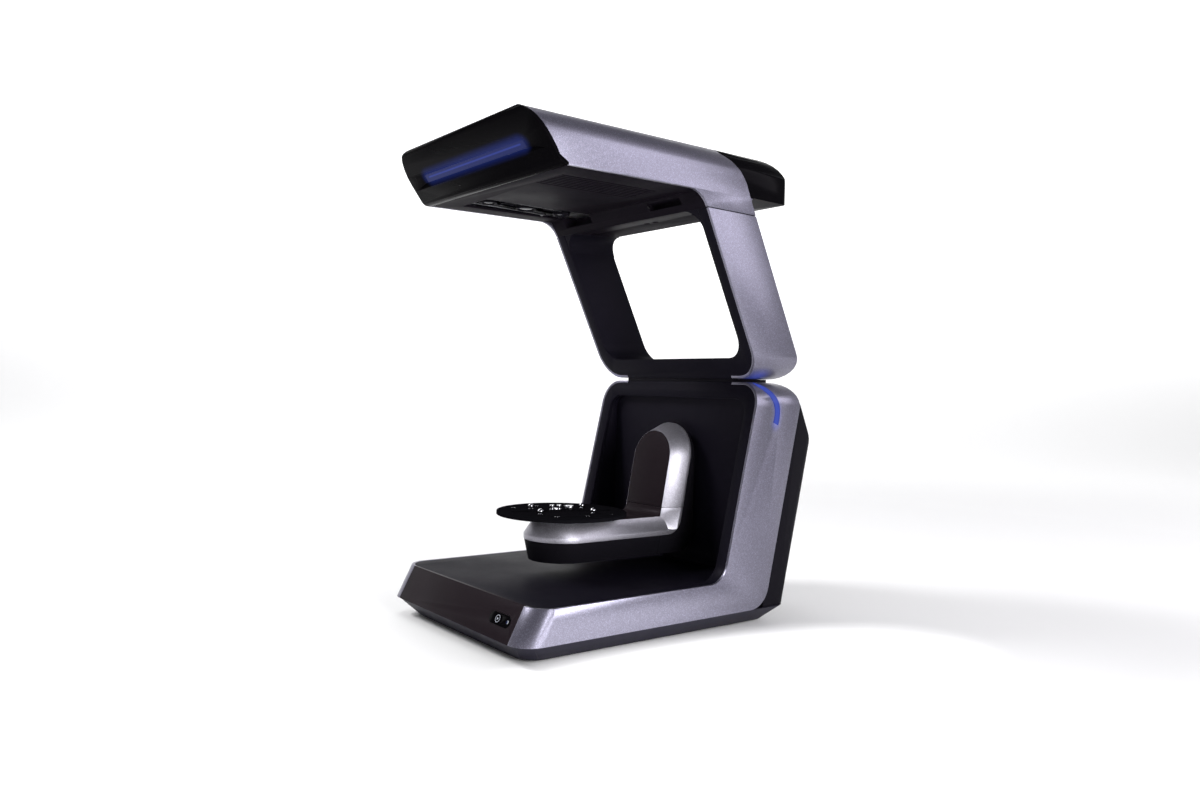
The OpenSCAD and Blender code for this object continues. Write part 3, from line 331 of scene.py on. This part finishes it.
def mat_metal(name, base, rough=0.25, brush=(1.0, 1.0, 1.0), fine=1800.0):
    """Bare metal with fine working marks, drawn out along the brush."""
    t = Tree(name)
    lines = t.noise(fine, 3.0, 0.6, t.stretch(*brush))
    stain = t.noise(40.0, 4.0, 0.6).ramp(0.4, 0.75)
    scratch = t.noise(300.0, 2.0, 0.5, t.stretch(brush[0] * 4.0, *brush[1:])).smooth(0.62, 0.7)
    col = t.mix(lines.ramp(0.3, 0.7) * 0.4, base, toned(base, 0.72))
    col = t.mix(stain * 0.15, col, toned(base, 0.8))
    t.set(Base_Color=col, Metallic=1.0, Normal=t.bump(lines, 0.12, 0.00008),
          Roughness=lines * 0.14 + stain * 0.06 + rough - 0.05 + scratch * 0.08)
    return t.m


def mat_disc():
    """Black anodised metal, turned, with four fine rings cut in its top."""
    t = Tree("black_anodised")
    dy = t.y - TABLE_Y * MM
    r = (t.x * t.x + dy * dy).sqrt()
    turned = t.noise(1.0, 2.0, 0.6, t.vec(r * 5200.0, t.z * 900.0, 0.0))
    rings = None
    for at in (0.0205, 0.031, 0.0445, 0.0535):
        ring = (r - at).abs().smooth(0.0001, 0.00035, 1.0, 0.0)
        rings = ring if rings is None else rings.max(ring)
    wear = t.edge_wear(0.5, 0.75)
    col = t.mix(turned.ramp(0.3, 0.7) * 0.4, (0.0036, 0.0034, 0.0044), (0.0085, 0.0082, 0.0102))
    col = t.mix(wear * 0.12, col, (0.03, 0.03, 0.033))
    t.set(Base_Color=col, Metallic=0.0, Roughness=turned * 0.12 + wear * 0.1 + 0.27,
          Specular_IOR_Level=0.0, Normal=t.bump(turned * 0.4 - rings, 0.35, 0.00012))
    return t.m


def mat_light(name, colour, strength, mask=None, plain=False):
    """A lit surface; a plain one has no grain in its light and is deep black where it is unlit."""
    t = Tree(name)
    core = t.noise(400.0, 2.0).ramp(0.3, 0.7, 0.92, 1.0)
    bright = core if mask is None else mask(t) if plain else core * mask(t)
    dark = DEEP_BLACK if plain else (0.012, 0.016, 0.05)
    t.set(Base_Color=t.mix(t.noise(120.0, 3.0) * 0.3, dark, toned(dark, 1.5)),
          Roughness=t.noise(300.0, 2.0) * 0.1 + 0.2,
          Emission_Color=t.mix(bright, UNLIT, colour), Emission_Strength=strength,
          Specular_IOR_Level=0.05, Normal=t.bump(t.noise(700.0, 1.0), 0.05, 0.0001))
    return t.m


def mat_board():
    """Green board with traces and small pads."""
    t = Tree("circuit_board")
    trace = t.cells(160.0, "DISTANCE_TO_EDGE").less(0.03)
    pad = t.cells(420.0).less(0.12)
    col = t.mix(trace, (0.006, 0.045, 0.020), (0.02, 0.12, 0.05))
    t.set(Base_Color=t.mix(pad, col, (0.55, 0.42, 0.15)), Metallic=pad * 0.9,
          Roughness=t.noise(200.0, 2.0) * 0.2 + 0.3, Normal=t.bump(trace, 0.2, 0.00005))
    return t.m


def mat_lens():
    """Dark coated glass."""
    t = Tree("coated_lens")
    t.set(Base_Color=t.mix(t.noise(60.0, 2.0), (0.004, 0.003, 0.010), (0.006, 0.009, 0.018)),
          Roughness=t.noise(500.0, 2.0) * 0.03 + 0.04, Specular_IOR_Level=0.12,
          Normal=t.bump(t.noise(30.0), 0.01, 0.0002))
    return t.m


FINISH = {
    "silver_shell": mat_silver(),
    "silver_low": mat_silver("silver_paint_low", glow=strip_glow),
    "silver_up": mat_silver("silver_paint_up", glow=waist_glow),
    "black_shell": mat_black(),
    "black_deck": mat_black("black_deck", base=(0.0044, 0.0038, 0.0074), rough=0.5, grain=2100.0,
                            strength=0.45, spec=0.06),
    "black_under": mat_black("black_underside", base=(0.006, 0.0048, 0.0072), rough=0.46, spec=0.012),
    "black_frame": mat_black("black_frame", base=(0.0050, 0.0045, 0.0078), rough=0.44, spec=0.03),
    "gloss_cap": mat_gloss("gloss_black_cap", 0.004, lit=True),
    "gloss_plain": mat_gloss("gloss_black", 0.014),
    "taupe_panel": mat_black("dark_taupe", base=(0.0135, 0.0098, 0.0122), rough=0.36, grain=1900.0,
                             strength=0.3),
    "disc_black": mat_disc(),
    "arm_silver": mat_silver("silver_paint_arm", base=(0.36, 0.35, 0.40), rough=0.44),
    "steel_part": mat_metal("plain_steel", (0.55, 0.55, 0.57), 0.30, (1.0, 0.1, 1.0)),
    "chrome_part": mat_metal("polished_chrome", (0.42, 0.42, 0.45), 0.11, fine=700.0),
    "blue_light": mat_light("blue_strip", (0.032, 0.055, 0.36), 1.0, arc_mask),
    "blue_bar": mat_light("blue_bar", BAR_BLUE, 1.0, bar_mask, plain=True),
    "white_light": mat_light("white_light", (0.9, 0.95, 1.0), 0.5, lamp_mask),
    "dark_steel": mat_metal("dark_steel", (0.10, 0.10, 0.11), 0.35),
    # the start symbol's white print, lit by emission as a painted glow
    "white_mark_painted_glow": mat_light("white_mark_painted_glow", (0.75, 0.78, 0.85), 0.7),
    "board": mat_board(),
    "lens_glass": mat_lens(),
    "pan_black": mat_black("pan_black", base=(0.011, 0.010, 0.018), rough=0.42, spec=0.06),
    "rubber_foot": mat_black("rubber", base=(0.012, 0.012, 0.012), rough=0.75, grain=900.0),
}
# the finish of a node that doesn't wear the one its slot is called after
FINISH_OF = {
    "side_shell_left": "silver_low", "side_shell_right": "silver_low",
    "upper_shell_left": "silver_up", "upper_shell_right": "silver_up",
    "deck_plate": "black_deck", "recess_liner": "black_deck", "back_panel": "black_deck",
    "head_bottom_cover": "black_under", "beam_cover": "black_under",
    "upper_frame": "black_frame", "column_bezel": "black_frame", "bottom_pan": "pan_black",
    "rear_brow": "gloss_plain", "button_plate": "gloss_plain", "start_button": "gloss_plain",
    "light_bar": "blue_bar", "button_light": "white_light", "turntable_disc": "disc_black",
}


# ---------------------------------------------------------------- objects

def new_object(bm, name):
    """Makes the bmesh an object of its own, with its faces turned outwards."""
    bmesh.ops.recalc_face_normals(bm, faces=bm.faces)
    me = bpy.data.meshes.new(name)
    bm.to_mesh(me)
    bm.free()
    o = bpy.data.objects.new(name, me)
    bpy.context.scene.collection.objects.link(o)
    return o


def clean_copy(name):
    """A copy of a CAD node whose double points are merged and whose flat faces are joined."""
    me = NODES[name].data.copy()
    bm = bmesh.new()
    bm.from_mesh(me)
    bmesh.ops.remove_doubles(bm, verts=bm.verts, dist=1e-6)
    bmesh.ops.dissolve_degenerate(bm, edges=bm.edges, dist=1e-6)
    bmesh.ops.dissolve_limit(bm, angle_limit=math.radians(0.5), verts=bm.verts, edges=bm.edges)
    bmesh.ops.recalc_face_normals(bm, faces=bm.faces)
    bm.to_mesh(me)
    bm.free()
    o = bpy.data.objects.new(name + "_skin", me)
    bpy.context.scene.collection.objects.link(o)
    return o


def select_only(o):
    for x in bpy.context.selected_objects:
        x.select_set(False)
    o.select_set(True)
    bpy.context.view_layer.objects.active = o


def smooth(o, angle=32.0):
    """Shades o smooth, apart from the edges that are sharper than the angle."""
    select_only(o)
    bpy.ops.object.shade_smooth_by_angle(angle=math.radians(angle))


def round_edges(o, width, angle):
    """Rounds the edges that are sharper than the angle, by width mm."""
    select_only(o)
    b = o.modifiers.new("edges", "BEVEL")
    b.width = width * MM
    b.segments = 2
    b.limit_method = "ANGLE"
    b.angle_limit = math.radians(angle)
    bpy.ops.object.modifier_apply(modifier=b.name)


def ride(o, body, finish):
    """Gives o its finish and lets it move with a body of the part."""
    o.data.materials.clear()
    o.data.materials.append(FINISH[finish])
    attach(o, body)
    return o


def finish_piece(bm, name, body, finish, bevel=0.0):
    """Turns bmesh work into a piece that rides on a body."""
    o = new_object(bm, name)
    if bevel:
        round_edges(o, bevel, 35.0)
    smooth(o, 35.0)
    return ride(o, body, finish)


# ---------------------------------------------------------------- shapes from points in mm

def angles(steps):
    """Even steps once round, in radians."""
    return [2 * math.pi * k / steps for k in range(steps)]


def bridge(bm, a, b):
    """Joins two closed loops of as many points with a band of faces."""
    for k in range(len(a)):
        j = (k + 1) % len(a)
        bm.faces.new((a[k], a[j], b[j], b[k]))


def turn(bm, profile, at, axis="Z", steps=64):
    """A turned solid. The profile is [radius, height] in mm, and starts on the axis."""
    rings = []
    for r, h in profile:
        if r < 1e-6:
            rings.append([bm.verts.new(Vector((0, 0, h)) * MM)])
        else:
            rings.append([bm.verts.new(Vector((r * math.cos(a), r * math.sin(a), h)) * MM)
                          for a in angles(steps)])
    for a, b in zip(rings, rings[1:]):
        if len(a) == len(b):
            bridge(bm, a, b)
            continue
        for k in range(steps):
            j = (k + 1) % steps
            bm.faces.new((a[0], b[k], b[j]) if len(a) == 1 else (a[k], a[j], b[0]))
    vs = [v for ring in rings for v in ring]
    if axis == "Y":
        bmesh.ops.rotate(bm, verts=vs, cent=(0, 0, 0),
                         matrix=Matrix.Rotation(math.radians(-90), 3, "X"))
    bmesh.ops.translate(bm, verts=vs, vec=Vector(at) * MM)
    return vs


def block(bm, a, b):
    """A box from two corners in mm."""
    g = bmesh.ops.create_cube(bm, size=1.0)
    a, b = Vector(a) * MM, Vector(b) * MM
    for v in g["verts"]:
        v.co = Vector([(a[i] + b[i]) / 2 + v.co[i] * (b[i] - a[i]) for i in range(3)])
    return g["verts"]


def move(vs, m):
    for v in vs:
        v.co = m @ v.co


def hull_of(points, name):
    """The solid that points in metres span."""
    bm = bmesh.new()
    for p in points:
        bm.verts.new(p)
    bmesh.ops.convex_hull(bm, input=bm.verts)
    return new_object(bm, name)


def box_tool(a, b):
    """A box to cut with, from two corners in mm."""
    a, b = Vector(a) * MM, Vector(b) * MM
    corners = [Vector((x, y, z)) for x in (a.x, b.x) for y in (a.y, b.y) for z in (a.z, b.z)]
    return hull_of(corners, "tool")


def cut(o, tool):
    """Takes the tool's shape out of o and removes the tool."""
    select_only(o)
    m = o.modifiers.new("cut", "BOOLEAN")
    m.operation = "DIFFERENCE"
    m.solver = "EXACT"
    m.object = tool
    bpy.ops.object.modifier_apply(modifier=m.name)
    me = tool.data
    bpy.data.objects.remove(tool)
    bpy.data.meshes.remove(me)


def socket_screw(bm, at, r, h, hex_r, matrix, steps=32):
    """A cap screw with a hexagon socket, its head standing up from at."""
    lip, deep_by = 0.12, 0.9
    vs = turn(bm, [(0, 0), (r, 0), (r, h - 0.25), (r - 0.25, h), (hex_r * 1.12, h),
                   (hex_r * 1.02, h - lip)], at, steps=steps)
    rim = vs[-steps:]
    low = []
    for a in angles(steps):
        q = hex_r * math.cos(math.pi / 6) / math.cos((a % (math.pi / 3)) - math.pi / 6)
        low.append(bm.verts.new((Vector(at) + Vector((q * math.cos(a), q * math.sin(a), h - lip))) * MM))
    deep = [bm.verts.new(v.co + Vector((0, 0, -deep_by * MM))) for v in low]
    bridge(bm, rim, low)
    bridge(bm, low, deep)
    bm.faces.new(deep)
    move(vs + low + deep, matrix)


# ---------------------------------------------------------------- cuts in the part's own pieces

def on_front(x, up, out):
    """A point on the head's front face: mm along it, up it from the ridge and out of it."""
    return RIDGE + Vector((x * MM, 0, 0)) + FACE_UP * up * MM + FACE_OUT * out * MM


def front_notch():
    """The wedge along the ridge, under the light line, with a slanted facet at each end."""
    pts = []
    for s in (-1, 1):
        pts += [on_front(s * 104, 0.3, -0.02), on_front(s * 104, 0.3, 1.0),
                on_front(s * 86, 4.2, 0.0), on_front(s * 86, 4.2, 1.0), on_front(s * 81, 4.2, -1.8)]
    return hull_of(pts, "notch")


def seam_gap():
    """Opens the joint between the head's shell and the upper column's shells."""
    return box_tool((-112, -40, 363.15), (112, 160, 364.05))


def arm_seam():
    """The fine level seam in the arm, where its upright part starts."""
    return box_tool((-60, 0, 99.45), (60, 100, 99.9))


def arm_body_seam():
    """The fine upright seam in the arm's black body."""
    return box_tool((-60, 41.9, 40), (60, 42.2, 90))


CUTS = {"head_front_cap": front_notch, "head_shell": seam_gap, "upper_shell_left": seam_gap,
        "upper_shell_right": seam_gap, "arm_face": arm_seam, "arm_shell": arm_seam,
        "arm_body": arm_body_seam}
# how far the sharp edges of a node are rounded, in mm
BEVELS = {
    "bottom_pan": 0.8, "deck_plate": 0.4, "front_fascia": 0.35, "side_shell_left": 0.5,
    "side_shell_right": 0.5, "column_bezel": 0.6, "recess_liner": 0.3, "rear_cover": 0.5,
    "column_top_cap": 0.4, "neck_block": 0.4, "upper_frame": 0.9, "upper_shell_left": 0.5,
    "upper_shell_right": 0.5, "beam_cover": 0.5, "head_shell": 0.5, "head_front_cap": 0.5,
    "head_bottom_cover": 0.4, "rear_brow": 0.4, "arm_face": 0.3, "arm_shell": 0.35,
    "arm_body": 0.6, "turntable_disc": 0.4, "button_plate": 0.3, "start_button": 0.3,
}
# the nodes that a finer piece is made for
MADE = {"side_light_left", "side_light_right", "light_bar", "disc_screws", "locating_balls",
        "plate_clamp", "projector_lens", "camera_lenses"}


def soften(name, width):
    """Shows a CAD node with its sharp edges rounded by width mm."""
    o = clean_copy(name)
    if name in CUTS:
        cut(o, CUTS[name]())
    if width:
        round_edges(o, width, 40.0)
    smooth(o)
    ride(o, BODY_OF[name], FINISH_OF.get(name, SLOT_OF[name]))
    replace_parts(o, name)


# ---------------------------------------------------------------- the lights

def light_line():
    """The lit strip behind the cap's face."""
    pts = [on_front(x, up, out) for x in (-80.2, 80.2) for up in (4.3, 11.2) for out in (-2.3, -0.02)]
    o = hull_of(pts, "light_line")
    ride(o, BODY_OF["light_bar"], "blue_bar")
    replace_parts(o, "light_bar")


def shoulder_x(z):
    """Where the silver shell's outer face stands at a height, in mm from the middle."""
    rise = max(0.0, z - SHOULDER_Z)
    return SHOULDER_X + math.sqrt(SHOULDER_R * SHOULDER_R - rise * rise)


def side_strip(side):
    """The blue strip as a thin band that follows the shell over its rounded shoulder."""
    steps, taper_from, half_columns = 30, 24, 3
    half_width, sunk, depth, top = 3.4, -0.02, -1.2, 217.6
    lift, lift_from, lift_over = 0.07, 199.0, 4.0
    bm = bmesh.new()
    rows = []
    for k in range(steps + 1):
        a = math.radians(STRIP_FROM + (STRIP_TO - STRIP_FROM) * k / steps)
        taper = 1.0 if k < taper_from else 1.0 - 0.5 * (k - taper_from) / (steps - taper_from)
        row = []
        for j in range(-half_columns, half_columns + 1):
            r = STRIP_R + j / half_columns * half_width * taper
            y, z = STRIP_Y + r * math.cos(a), STRIP_Z + r * math.sin(a)
            x = shoulder_x(min(z, top))
            normal = Vector((x - SHOULDER_X, 0.0, max(0.0, z - SHOULDER_Z))).normalized()
            face = sunk + lift * min(1.0, max(0.0, (z - lift_from) / lift_over))
            row.append([bm.verts.new(Vector((side * (x + normal.x * d), y, z + normal.z * d)) * MM)
                        for d in (face, depth)])
        rows.append(row)
    for p, q in zip(rows, rows[1:]):
        for a, b, c, d in zip(p, p[1:], q[1:], q):
            bm.faces.new((a[0], b[0], c[0], d[0]))
            bm.faces.new((a[1], d[1], c[1], b[1]))
        for end in (0, -1):
            bm.faces.new((p[end][0], q[end][0], q[end][1], p[end][1]))
    for row in (rows[0], rows[-1]):
        for a, b in zip(row, row[1:]):
            bm.faces.new((a[0], b[0], b[1], a[1]))
    return bm


def side_strips():
    for side, node in ((-1, "side_light_left"), (1, "side_light_right")):
        o = new_object(side_strip(side), node + "_band")
        smooth(o, 40.0)
        ride(o, BODY_OF[node], "blue_light")
        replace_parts(o, node)


# ---------------------------------------------------------------- on the turntable

def disc_screw_heads():
    bm = bmesh.new()
    for x, y in SCREWS:
        socket_screw(bm, (x, y, -2.15), 2.1, 1.95, 1.1, ON_TABLE)
    o = finish_piece(bm, "disc_screw_heads", "table", "chrome_part")
    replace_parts(o, "disc_screws")


def locating_ball_pins():
    """Polished balls, each on a short stem with a collar."""
    ball_r, ball_mid = 2.45, 2.2
    ball = [(ball_r * math.sin(math.radians(d)), ball_mid - ball_r * math.cos(math.radians(d)))
            for d in range(32, 180, 8)]
    stem = [(0, -1.9), (1.95, -1.9), (1.95, -0.1), (1.2, 0.2), (1.2, 0.5)]
    bm = bmesh.new()
    for x, y in BALLS:
        move(turn(bm, stem + ball + [(0, 4.65)], (x, y, 0), steps=40), ON_TABLE)
    o = finish_piece(bm, "locating_ball_pins", "table", "chrome_part")
    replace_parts(o, "locating_balls")


def knurled_nut(bm):
    """The clamp's nut: every second point of its side stands out a little."""
    sides, r, tooth, middle_y = 60, 3.85, 0.12, 7
    rings = []
    for h, k in ((0.76, 0.92), (1.1, 1.0), (4.2, 1.0), (4.6, 0.94)):
        ring = []
        for j, a in enumerate(angles(sides)):
            out = (r + (tooth if j % 2 and k == 1.0 else 0.0)) * k
            ring.append(bm.verts.new(Vector((out * math.cos(a), middle_y + out * math.sin(a), h)) * MM))
        rings.append(ring)
    for a, b in zip(rings, rings[1:]):
        bridge(bm, a, b)
    bm.faces.new(rings[0][::-1])
    bm.faces.new(rings[-1])
    return [v for ring in rings for v in ring]


def clamp():
    """The clamp in the groove: a dark slide, a knurled nut, two jaw posts and a small block."""
    top = 0.76
    bm = bmesh.new()
    move(block(bm, (-4.2, -13, -1.55), (4.2, 13, 0.75)), ON_TABLE)
    o = finish_piece(bm, "clamp_slide", "table", "disc_black", 0.25)
    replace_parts(o, "plate_clamp")
    post = [(0, top), (2.15, top), (2.15, 1.6), (1.6, 1.9), (1.6, 3.2), (2.15, 3.5),
            (2.15, 5.2), (1.9, 5.45), (0.7, 5.45), (0.6, 4.9), (0, 4.9)]
    bm = bmesh.new()
    move(knurled_nut(bm), ON_TABLE)
    for y in (-9, -2.5):
        move(turn(bm, post, (0, y, 0), steps=32), ON_TABLE)
    move(block(bm, (-2.6, -7.2, top), (2.6, -4.3, 2.4)), ON_TABLE)
    finish_piece(bm, "clamp_jaws", "table", "chrome_part", 0.08)


# ---------------------------------------------------------------- under the head

def lens(y, d, name):
    """A dark barrel whose mouth holds a coated glass."""
    r = d / 2
    glass = r - 2.5
    bm = bmesh.new()
    turn(bm, [(0, 6), (r, 6), (r, 0.5), (r - 0.5, 0), (r - 1.5, 0), (r - 2.4, 1.9), (0, 1.9)],
         (SLOT_X, y, OPTIC_LOW), steps=72)
    finish_piece(bm, name + "_barrel", "stand", "black_shell")
    bm = bmesh.new()
    dome = [(glass * math.cos(math.radians(a)), 1.85 - 1.5 * math.sin(math.radians(a)))
            for a in range(15, 90, 15)]
    turn(bm, [(0, 1.88), (glass, 1.88)] + dome + [(0, 0.35)], (SLOT_X, y, OPTIC_LOW), steps=64)
    return finish_piece(bm, name + "_glass", "stand", "lens_glass")


def optics():
    """The projector's and the cameras' lenses, the dark rails beside them and the small pins."""
    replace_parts(lens(PROJECTOR_Y, 20, "projector"), "projector_lens")
    front = lens(PROJECTOR_Y - CAMERA_REACH, 16, "front_camera")
    lens(PROJECTOR_Y + CAMERA_REACH, 16, "rear_camera")
    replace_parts(front, "camera_lenses")
    for x in RAILS_X:
        bm = bmesh.new()
        block(bm, (x, RAIL_FROM_Y, 377.3), (x + 0.9, RAIL_TO_Y, 378.9))
        finish_piece(bm, "slot_rail_%d" % (-x), "stand", "dark_steel", 0.12)
    bm = bmesh.new()
    for y in (-101.5, -20.5):
        turn(bm, [(0, 0), (1.5, 0), (1.5, 2.2), (1.2, 2.5), (0, 2.5)], (-83.0, y, 376.9), steps=32)
    for y in (-3.5, -8.0):
        turn(bm, [(0, 0), (0.9, 0), (0.9, 2.0), (0.6, 2.3), (0, 2.3)], (-80.0, y, 377.6), steps=24)
    finish_piece(bm, "slot_pins", "stand", "dark_steel")


def beam_screw_heads():
    """The screws in the beam's underside, their heads hanging down."""
    bm = bmesh.new()
    for x in BEAM_SCREWS:
        place = Matrix.Translation(Vector((x, BEAM_SCREW_Y, BEAM_SCREW_Z)) * MM)
        socket_screw(bm, (0, 0, 0), 2.7, 2.6, 1.3, place @ Matrix.Rotation(math.pi, 4, "X"))
    finish_piece(bm, "beam_screw_heads", "stand", "dark_steel")


def upper_front(z):
    """Place of the upper column's front face at a height, in mm."""
    foot_y, foot_z, lean = 87.55, 221.5, 0.497
    return foot_y - lean * (z - foot_z)


def window_corners():
    """The window's rounded upper corners, and the packing behind the joint above them."""
    half, under, r, into_beam = 97.6, 363.6, 18.0, 1.2
    front, rear, rise, depth = 0.5, 57.4, 3.0, 58.0
    outline = [(half, under + into_beam), (half - r, under + into_beam)]
    for k in range(13):
        a = math.pi / 2 * k / 12
        outline.append((half - r + r * math.sin(a), under - r + r * math.cos(a)))
    for side, label in ((-1, "left"), (1, "right")):
        bm = bmesh.new()
        # the beam's underside rises from front to rear, and the corner rises with it
        ends = [[bm.verts.new(Vector((side * x, upper_front(z) + d, z + rise * d / depth)) * MM)
                 for x, z in outline] for d in (front, rear)]
        for row in ends:
            bm.faces.new(row)
        bridge(bm, *ends)
        finish_piece(bm, "window_corner_" + label, "stand", "black_frame")
        # the dark packing between the head's shell and the upper shell
        near, far = sorted((side * 108.6, side * 110.4))
        bm = bmesh.new()
        block(bm, (near, 17.6, 362.9), (far, 74.2, 364.3))
        finish_piece(bm, "seam_packing_" + label, "stand", "black_frame")


def cable_slot_pin():
    """The small pale stud at one end of the slot in the beam's front."""
    bm = bmesh.new()
    turn(bm, [(0, 0), (1.1, 0), (1.1, 1.6), (0.8, 2.0), (0, 2.0)], STUD, axis="Y", steps=28)
    finish_piece(bm, "cable_slot_pin", "stand", "chrome_part")


# ---------------------------------------------------------------- on the fascia

def on_fascia(x, up, out):
    """A point on the fascia: mm across, up it from its middle and out of it."""
    return Vector((x, FASCIA_Y, FASCIA_Z)) * MM + FASCIA_UP * up * MM + FASCIA_OUT * out * MM


def start_symbol():
    """The ring and the triangle on the button's face, printed white and given a painted glow."""
    bm = bmesh.new()
    low, high, inner, outer = 1.0, 1.03, 2.6, 3.0
    rings = [[bm.verts.new(on_fascia(BUTTON_X + r * math.cos(a), r * math.sin(a), out))
              for a in angles(48)]
             for r, out in ((inner, low), (inner, high), (outer, high), (outer, low))]
    for a, b in zip(rings, rings[1:] + rings[:1]):
        bridge(bm, a, b)
    corners = [(-0.7, -1.1), (1.15, 0.0), (-0.7, 1.1)]
    lower, upper = ([bm.verts.new(on_fascia(BUTTON_X + x, y, out)) for x, y in corners]
                    for out in (low, high))
    bm.faces.new(lower)
    bm.faces.new(upper)
    bridge(bm, lower, upper)
    finish_piece(bm, "start_symbol", "button", "white_mark_painted_glow")


# ---------------------------------------------------------------- stage, light and camera

def pale_floor():
    """The floor's finish. It shines a little where the light of a studio would fill it, and strongly in
    a painted pool of light beside the object.
    """
    t = Tree("pale_floor")
    t.set(Base_Color=t.mix(t.noise(3.0, 3.0) * 0.2, (0.93, 0.93, 0.93), (0.90, 0.90, 0.91)),
          Roughness=t.noise(20.0, 3.0) * 0.1 + 0.7, Specular_IOR_Level=0.1,
          Normal=t.bump(t.noise(250.0, 3.0), 0.02, 0.0003))
    fade = t.z.smooth(1.9, 3.0, 1.0, 0.0)
    far_off = (t.x * t.x + t.y * t.y).sqrt().smooth(0.7, 2.3) * fade
    wall = t.z.smooth(0.0, 0.7) * fade
    # a painted pool of light on the floor beside the base: it shows in the silver side and the base's
    # front corner, and fades the shadow there
    dx, dy = t.x - 0.22, t.y + 0.07
    painted_pool_beside = (dx * dx * 5.0 + dy * dy).sqrt().smooth(0.11, 0.32, 1.0, 0.0)
    glow = (far_off * 0.15 + wall * 0.183).clamp() + painted_pool_beside * 0.85
    t.set(Emission_Color=t.mix(glow, UNLIT, (0.95, 0.95, 0.95)), Emission_Strength=2.4)
    return t.m


def floor_and_wall():
    """A pale floor that curves up into a wall behind the object."""
    away = Vector((-0.79, 0.61, 0.0)).normalized()
    across = Vector((away.y, -away.x, 0.0))
    start, bend, top, steps = 1.7, 1.5, 5.0, 16
    profile = [(-5.0, 0.0), (start, 0.0)]
    for k in range(1, steps + 1):
        a = math.pi / 2 * k / steps
        profile.append((start + bend * math.sin(a), bend - bend * math.cos(a)))
    profile.append((start + bend, top))
    bm = bmesh.new()
    rows = [[bm.verts.new(away * d + across * w + Vector((0, 0, h))) for w in (-7.0, 7.0)]
            for d, h in profile]
    for a, b in zip(rows, rows[1:]):
        bm.faces.new((a[0], b[0], b[1], a[1]))
    floor = new_object(bm, "floor")
    smooth(floor, 60.0)
    floor.data.materials.append(pale_floor())


def room():
    """The even light that comes from all round."""
    world = bpy.data.worlds.new("room")
    world.use_nodes = True
    world.node_tree.nodes["Background"].inputs[0].default_value = (0.95, 0.95, 1.0, 1.0)
    world.node_tree.nodes["Background"].inputs[1].default_value = 0.16
    bpy.context.scene.world = world


def area_light(name, at, to, width, power, height, colour=(1, 1, 1)):
    d = bpy.data.lights.new(name, "AREA")
    d.energy = power
    d.shape = "RECTANGLE"
    d.size = width
    d.size_y = height
    d.color = colour
    o = bpy.data.objects.new(name, d)
    bpy.context.scene.collection.objects.link(o)
    o.location = at
    o.rotation_euler = (Vector(to) - Vector(at)).to_track_quat("-Z", "Y").to_euler()
    o.visible_camera = False


def lights():
    area_light("key", (-1.2, -1.3, 1.7), (0.0, 0.0, 0.2), 0.6, 42.0, 0.6)
    area_light("top", (-0.6, -0.1, 2.6), (-0.3, 0.2, 0.0), 1.7, 17.0, 1.7)
    # these three show in the silver sides, in the arm's bevel and in the base's front corner
    area_light("card", (1.36, 0.94, 0.97), (0.1, 0.0, 0.33), 1.3, 13.5, 0.9, (0.97, 0.95, 1.0))
    area_light("strip", (1.65, -0.2, 0.32), (0.0, 0.05, 0.15), 0.35, 19.0, 1.1)
    area_light("corner", (1.65, 0.07, 0.16), (0.1, -0.13, 0.03), 0.45, 7.0, 0.3)


def camera():
    """The camera at the photograph's viewing angle; its focal length comes from pixels."""
    at = Vector((0.6704, -0.5235, 0.2080))
    yaw, pitch, roll = -0.914, -0.011, 0.026
    sensor, focal_px, frame_px = 36.0, 921.293, 1200.0
    fwd = Vector((math.sin(yaw) * math.cos(pitch), math.cos(yaw) * math.cos(pitch), math.sin(pitch)))
    level = Vector((math.cos(yaw), -math.sin(yaw), 0.0))
    upright = level.cross(fwd)
    right = math.cos(roll) * level + math.sin(roll) * upright
    up = -math.sin(roll) * level + math.cos(roll) * upright
    m = Matrix((right, up, -fwd)).transposed().to_4x4()
    m.translation = at
    d = bpy.data.cameras.new("camera")
    d.sensor_width = sensor
    d.lens = sensor * focal_px / frame_px
    d.clip_start = 0.01
    o = bpy.data.objects.new("camera", d)
    bpy.context.scene.collection.objects.link(o)
    o.matrix_world = m
    bpy.context.scene.camera = o


for node in sorted(set(NODES) - MADE):
    soften(node, BEVELS.get(node, 0.0))
light_line()
side_strips()
disc_screw_heads()
locating_ball_pins()
clamp()
optics()
beam_screw_heads()
window_corners()
cable_slot_pin()
start_symbol()
floor_and_wall()
room()
lights()
camera()
bpy.context.scene.view_settings.view_transform = "Standard"
